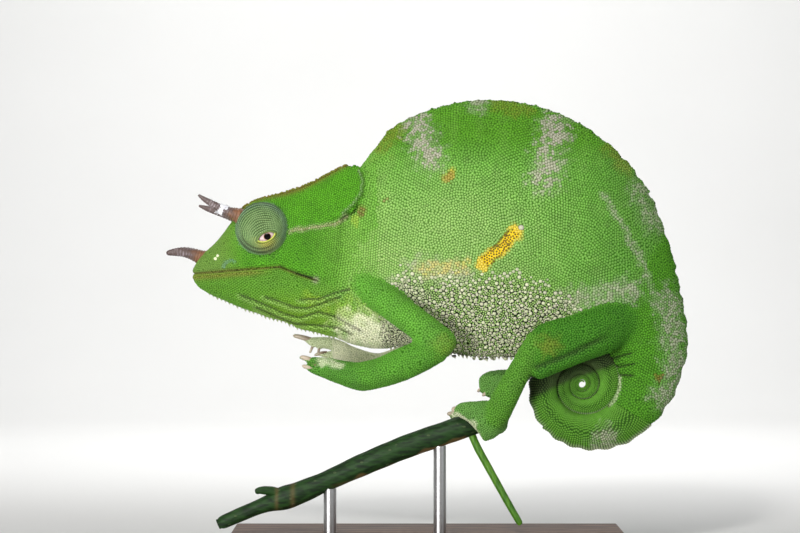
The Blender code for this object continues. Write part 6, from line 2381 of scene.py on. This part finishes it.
@dataclass(frozen=True)
class Perch:
    """The cut stem with its stub and peeled strip, and the side twig."""

    stem: tuple[tuple[float, float, float, float], ...] = (
        (21.2, -1.6, 50, 4.45), (8.9, -1.6, 45.6, 4.45), (-8.3, -1.6, 39.6, 4.45),
        (-25.4, -1.6, 32.5, 4.25), (-38.2, -1.6, 26.7, 3.85), (-48.2, -1.6, 22.4, 4.35),
        (-54.6, -1.6, 20.2, 4.45), (-61, -1.6, 18, 3.05), (-68, -1.6, 15.2, 2.75),
        (-78.6, -1.6, 10.6, 2.65),
    )
    stub: tuple[tuple[float, float, float, float], ...] = (
        (-53, -1.6, 21, 2.2), (-58, -3, 23, 1.9), (-62, -4.2, 23.6, 1.5), (-64.4, -5, 23.2, 1.0),
    )
    twig: tuple[tuple[float, float, float, float], ...] = (
        (15.4, -1.6, 46.6, 1.5), (18.4, -1.7, 39.6, 1.5), (23.1, -1.9, 31, 1.45),
        (29.9, -2.1, 18.7, 1.35), (34.6, -2.2, 10.6, 1.25),
    )
    strip: tuple[Place, ...] = ((15.3, 43.1), (0.7, 37.8), (-18, 30.4), (-38.9, 22.9))

    def _rod(self, table: Sequence[Sequence[float]], count: int, sides: int,
             seed: int) -> tuple[Array, list, Array]:
        """Sweep a rod with fine lengthwise ribs and slow lumps."""
        path = course(table, count)
        turns = np.linspace(0, 2 * math.pi, sides, endpoint=False)
        along = np.linspace(0, len(table), count)[:, None]
        rng = np.random.default_rng(seed)
        relief = np.zeros((count, sides))
        for waves in (9, 14, 23):
            start = rng.uniform(0, 6.28, 2)
            relief += np.sin(turns * waves + start[0] + 0.9 * np.sin(along * 1.3 + start[1])) / waves
        relief += 0.12 * np.sin(along * 7.0 + turns * 2)
        cap = np.sqrt(np.clip(1 - np.abs(np.linspace(-1, 1, count)) ** 60, 0.55, 1))[:, None]
        return tube(path[:, :3], path[:, 3:] * (0.97 + 0.09 * relief) * cap, sides)

    def build(self) -> None:
        """Add stem and twig."""
        stem, stub = self._rod(self.stem, 420, 72, 5), self._rod(self.stub, 70, 40, 6)
        points, faces, _ = joined([(stem[0], stem[1], {}), (stub[0], stub[1], {})])
        line, share = beside_line(points, self.strip)
        near = smooth_step(0.5, 1.5, -points[:, 1])
        ends = smooth_step(0.0, 0.04, share) * smooth_step(0.0, 0.3, 1 - share)
        scuff = smooth_step(1.5, 0.7, np.abs(line + 0.7 * Ripple(9.0, 12)(points))) * near * ends
        rings = bell(points[:, 0] + 50.5, 0.9) + bell(points[:, 0] + 56.5, 0.7)
        mesh = mesh_from("stem", points, faces, scuff=(scuff + 0.5 * rings).clip(0, 1))
        show("stem", mesh, BarkFinish().material(), "bark", ("perch_stem",))
        points, faces, _ = self._rod(self.twig, 160, 32, 7)
        show("twig", mesh_from("twig", points, faces), TwigFinish().material(), "twig",
             ("perch_twig",))


@dataclass(frozen=True)
class Stand:
    """The walnut base with softened edges and two brushed rods."""

    nodes: tuple[str, ...] = ("stand_rod_rear", "stand_rod_front")
    edge: float = 1.0

    def build(self) -> None:
        """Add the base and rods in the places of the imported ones."""
        low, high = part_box("stand_base")
        made = bmesh.new()
        bmesh.ops.create_cube(made, size=1.0)
        for vertex in made.verts:
            share = vertex.co + Vector((0.5, 0.5, 0.5))
            vertex.co = Vector(low[axis] + (high[axis] - low[axis]) * share[axis]
                               for axis in range(3))
        bmesh.ops.bevel(made, geom=made.edges, offset=self.edge * MM, segments=4, profile=0.5,
                        affect="EDGES")
        mesh = bpy.data.meshes.new("base")
        made.to_mesh(mesh)
        made.free()
        mesh.shade_smooth()
        mesh.set_sharp_from_angle(angle=math.radians(40.0))
        show("base", mesh, WalnutFinish().material(), "wood", ("stand_base",))
        steel = SteelFinish().material()
        for node in self.nodes:
            low, high = (Vector(corner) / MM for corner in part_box(node))
            middle, radius = (low + high) / 2, (high.x - low.x) / 2
            path = np.array([(middle.x, middle.y, z) for z in np.linspace(low.z, high.z, 12)])
            points, faces, _ = tube(path, np.full(12, radius), 48)
            mesh = mesh_from(node + "_steel", points, faces)
            mesh.set_sharp_from_angle(angle=math.radians(40.0))
            show(node + "_steel", mesh, steel, "steel", (node,))


@dataclass(frozen=True)
class Lamp:
    """One soft round area lamp, in millimetres and watts."""

    name: str
    place: tuple[float, float, float]
    aim: tuple[float, float, float]
    size: float
    power: float
    colour: Colour = (1.0, 1.0, 1.0)

    def build(self) -> None:
        """Add the lamp, turned to what it lights."""
        lamp = bpy.data.lights.new(self.name, "AREA")
        lamp.shape = "DISK"
        lamp.size = self.size * MM
        lamp.energy = self.power
        lamp.color = self.colour
        holder = linked(self.name, lamp)
        holder.location = Vector(self.place) * MM
        way = Vector(self.aim) - Vector(self.place)
        holder.rotation_euler = way.to_track_quat("-Z", "Y").to_euler()


LAMPS = (
    Lamp("key", (-200, -700, 590), (10, 0, 105), 120, 4.0, (1.0, 0.98, 0.95)),
    Lamp("front", (-420, -720, 60), (-20, 0, 90), 240, 5.8),
    Lamp("side", (620, -520, 260), (10, 0, 95), 520, 0.8, (0.93, 0.96, 1.0)),
    Lamp("top", (120, 330, 640), (10, 0, 110), 420, 1.3),
    Lamp("backdrop", (0, 420, 700), (0, 1200, 260), 900, 8.0),
)


@dataclass(frozen=True)
class Studio:
    """Pale floor, soft lights and the camera at the photo's angle."""

    camera_place: tuple[float, float, float] = (-10.5, -833.3, 107.1)
    lens: float = 100.0
    sensor: float = 36.0
    ambient: tuple[float, float, float, float] = (0.95, 0.97, 1.0, 1.0)
    strength: float = 0.14
    reach: float = 3000.0
    bend: float = 700.0
    radius: float = 500.0
    top: float = 3500.0

    def build(self) -> None:
        """Set the studio up."""
        self._floor()
        self._world()
        for lamp in LAMPS:
            lamp.build()
        camera = linked("camera", bpy.data.cameras.new("camera"))
        camera.location = Vector(self.camera_place) * MM
        camera.rotation_euler = (math.radians(90.0), 0.0, 0.0)
        camera.data.lens = self.lens
        camera.data.sensor_width = self.sensor
        camera.data.clip_start = 0.01
        bpy.context.scene.camera = camera
        bpy.context.scene.view_settings.view_transform = "Standard"

    def _floor(self) -> None:
        """Add a floor that sweeps up into a backdrop."""
        profile = [(-self.reach, 0.0), (self.bend, 0.0)]
        for turn in np.linspace(0, math.pi / 2, 14)[1:]:
            profile.append((self.bend + self.radius * math.sin(turn),
                            self.radius - self.radius * math.cos(turn)))
        profile.append((self.bend + self.radius, self.top))
        points = [(x, y, z) for y, z in profile for x in (-self.reach, self.reach)]
        faces = [(2 * row, 2 * row + 1, 2 * row + 3, 2 * row + 2) for row in range(len(profile) - 1)]
        floor = linked("floor", mesh_from("floor", np.array(points), faces))
        floor.data.materials.append(FloorFinish().material())

    def _world(self) -> None:
        """Fill the room with pale even light."""
        world = bpy.data.worlds.new("studio")
        world.use_nodes = True
        ground = world.node_tree.nodes["Background"]
        ground.inputs["Color"].default_value = self.ambient
        ground.inputs["Strength"].default_value = self.strength
        bpy.context.scene.world = world


def build_claws(material: bpy.types.Material) -> None:
    """Add the claws as one piece."""
    points, faces, amounts = joined([part for claws in CLAWS for part in claws.parts()])
    show("claws", mesh_from("claws", points, faces, **amounts), material, "horn")


def main() -> None:
    """Build the model, its coat, its stand and the studio."""
    logging.basicConfig(level=logging.INFO, format="%(name)s: %(message)s")
    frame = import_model()
    rng = np.random.default_rng(SEED)
    hide = Hide(frame["nodes"])
    hide.build()
    LOG.info("hide: %d triangles", len(hide.surface.triangles))
    markings = Markings(hide)
    hide.show(markings, SKIN_TRIANGLES)
    unwrap = Unwrap(hide.surface)
    unwrap.make()
    Coat(hide, markings, unwrap, Setter(), rng).build()
    Eyes(hide.surface).build()
    keratin = HornFinish().material()
    rostral = Horn("horn_rostral", (
        (-82.4, 0, 110, 2.95), (-85.6, 0, 110.8, 2.7), (-88.6, 0, 111.8, 2.3),
        (-91.9, 0, 112.5, 1.9), (-95.2, 0, 112.5, 1.45), (-97.3, 0, 112.2, 1.0),
        (-98.1, 0, 112.1, 0.4)))
    for horn in (rostral, brow_horn(-1), brow_horn(1)):
        horn.build(keratin, rng)
    ShedSkin().build(rng)
    build_claws(ClawFinish().material())
    Perch().build()
    Stand().build()
    Studio().build()


if __name__ == "__main__":
    main()
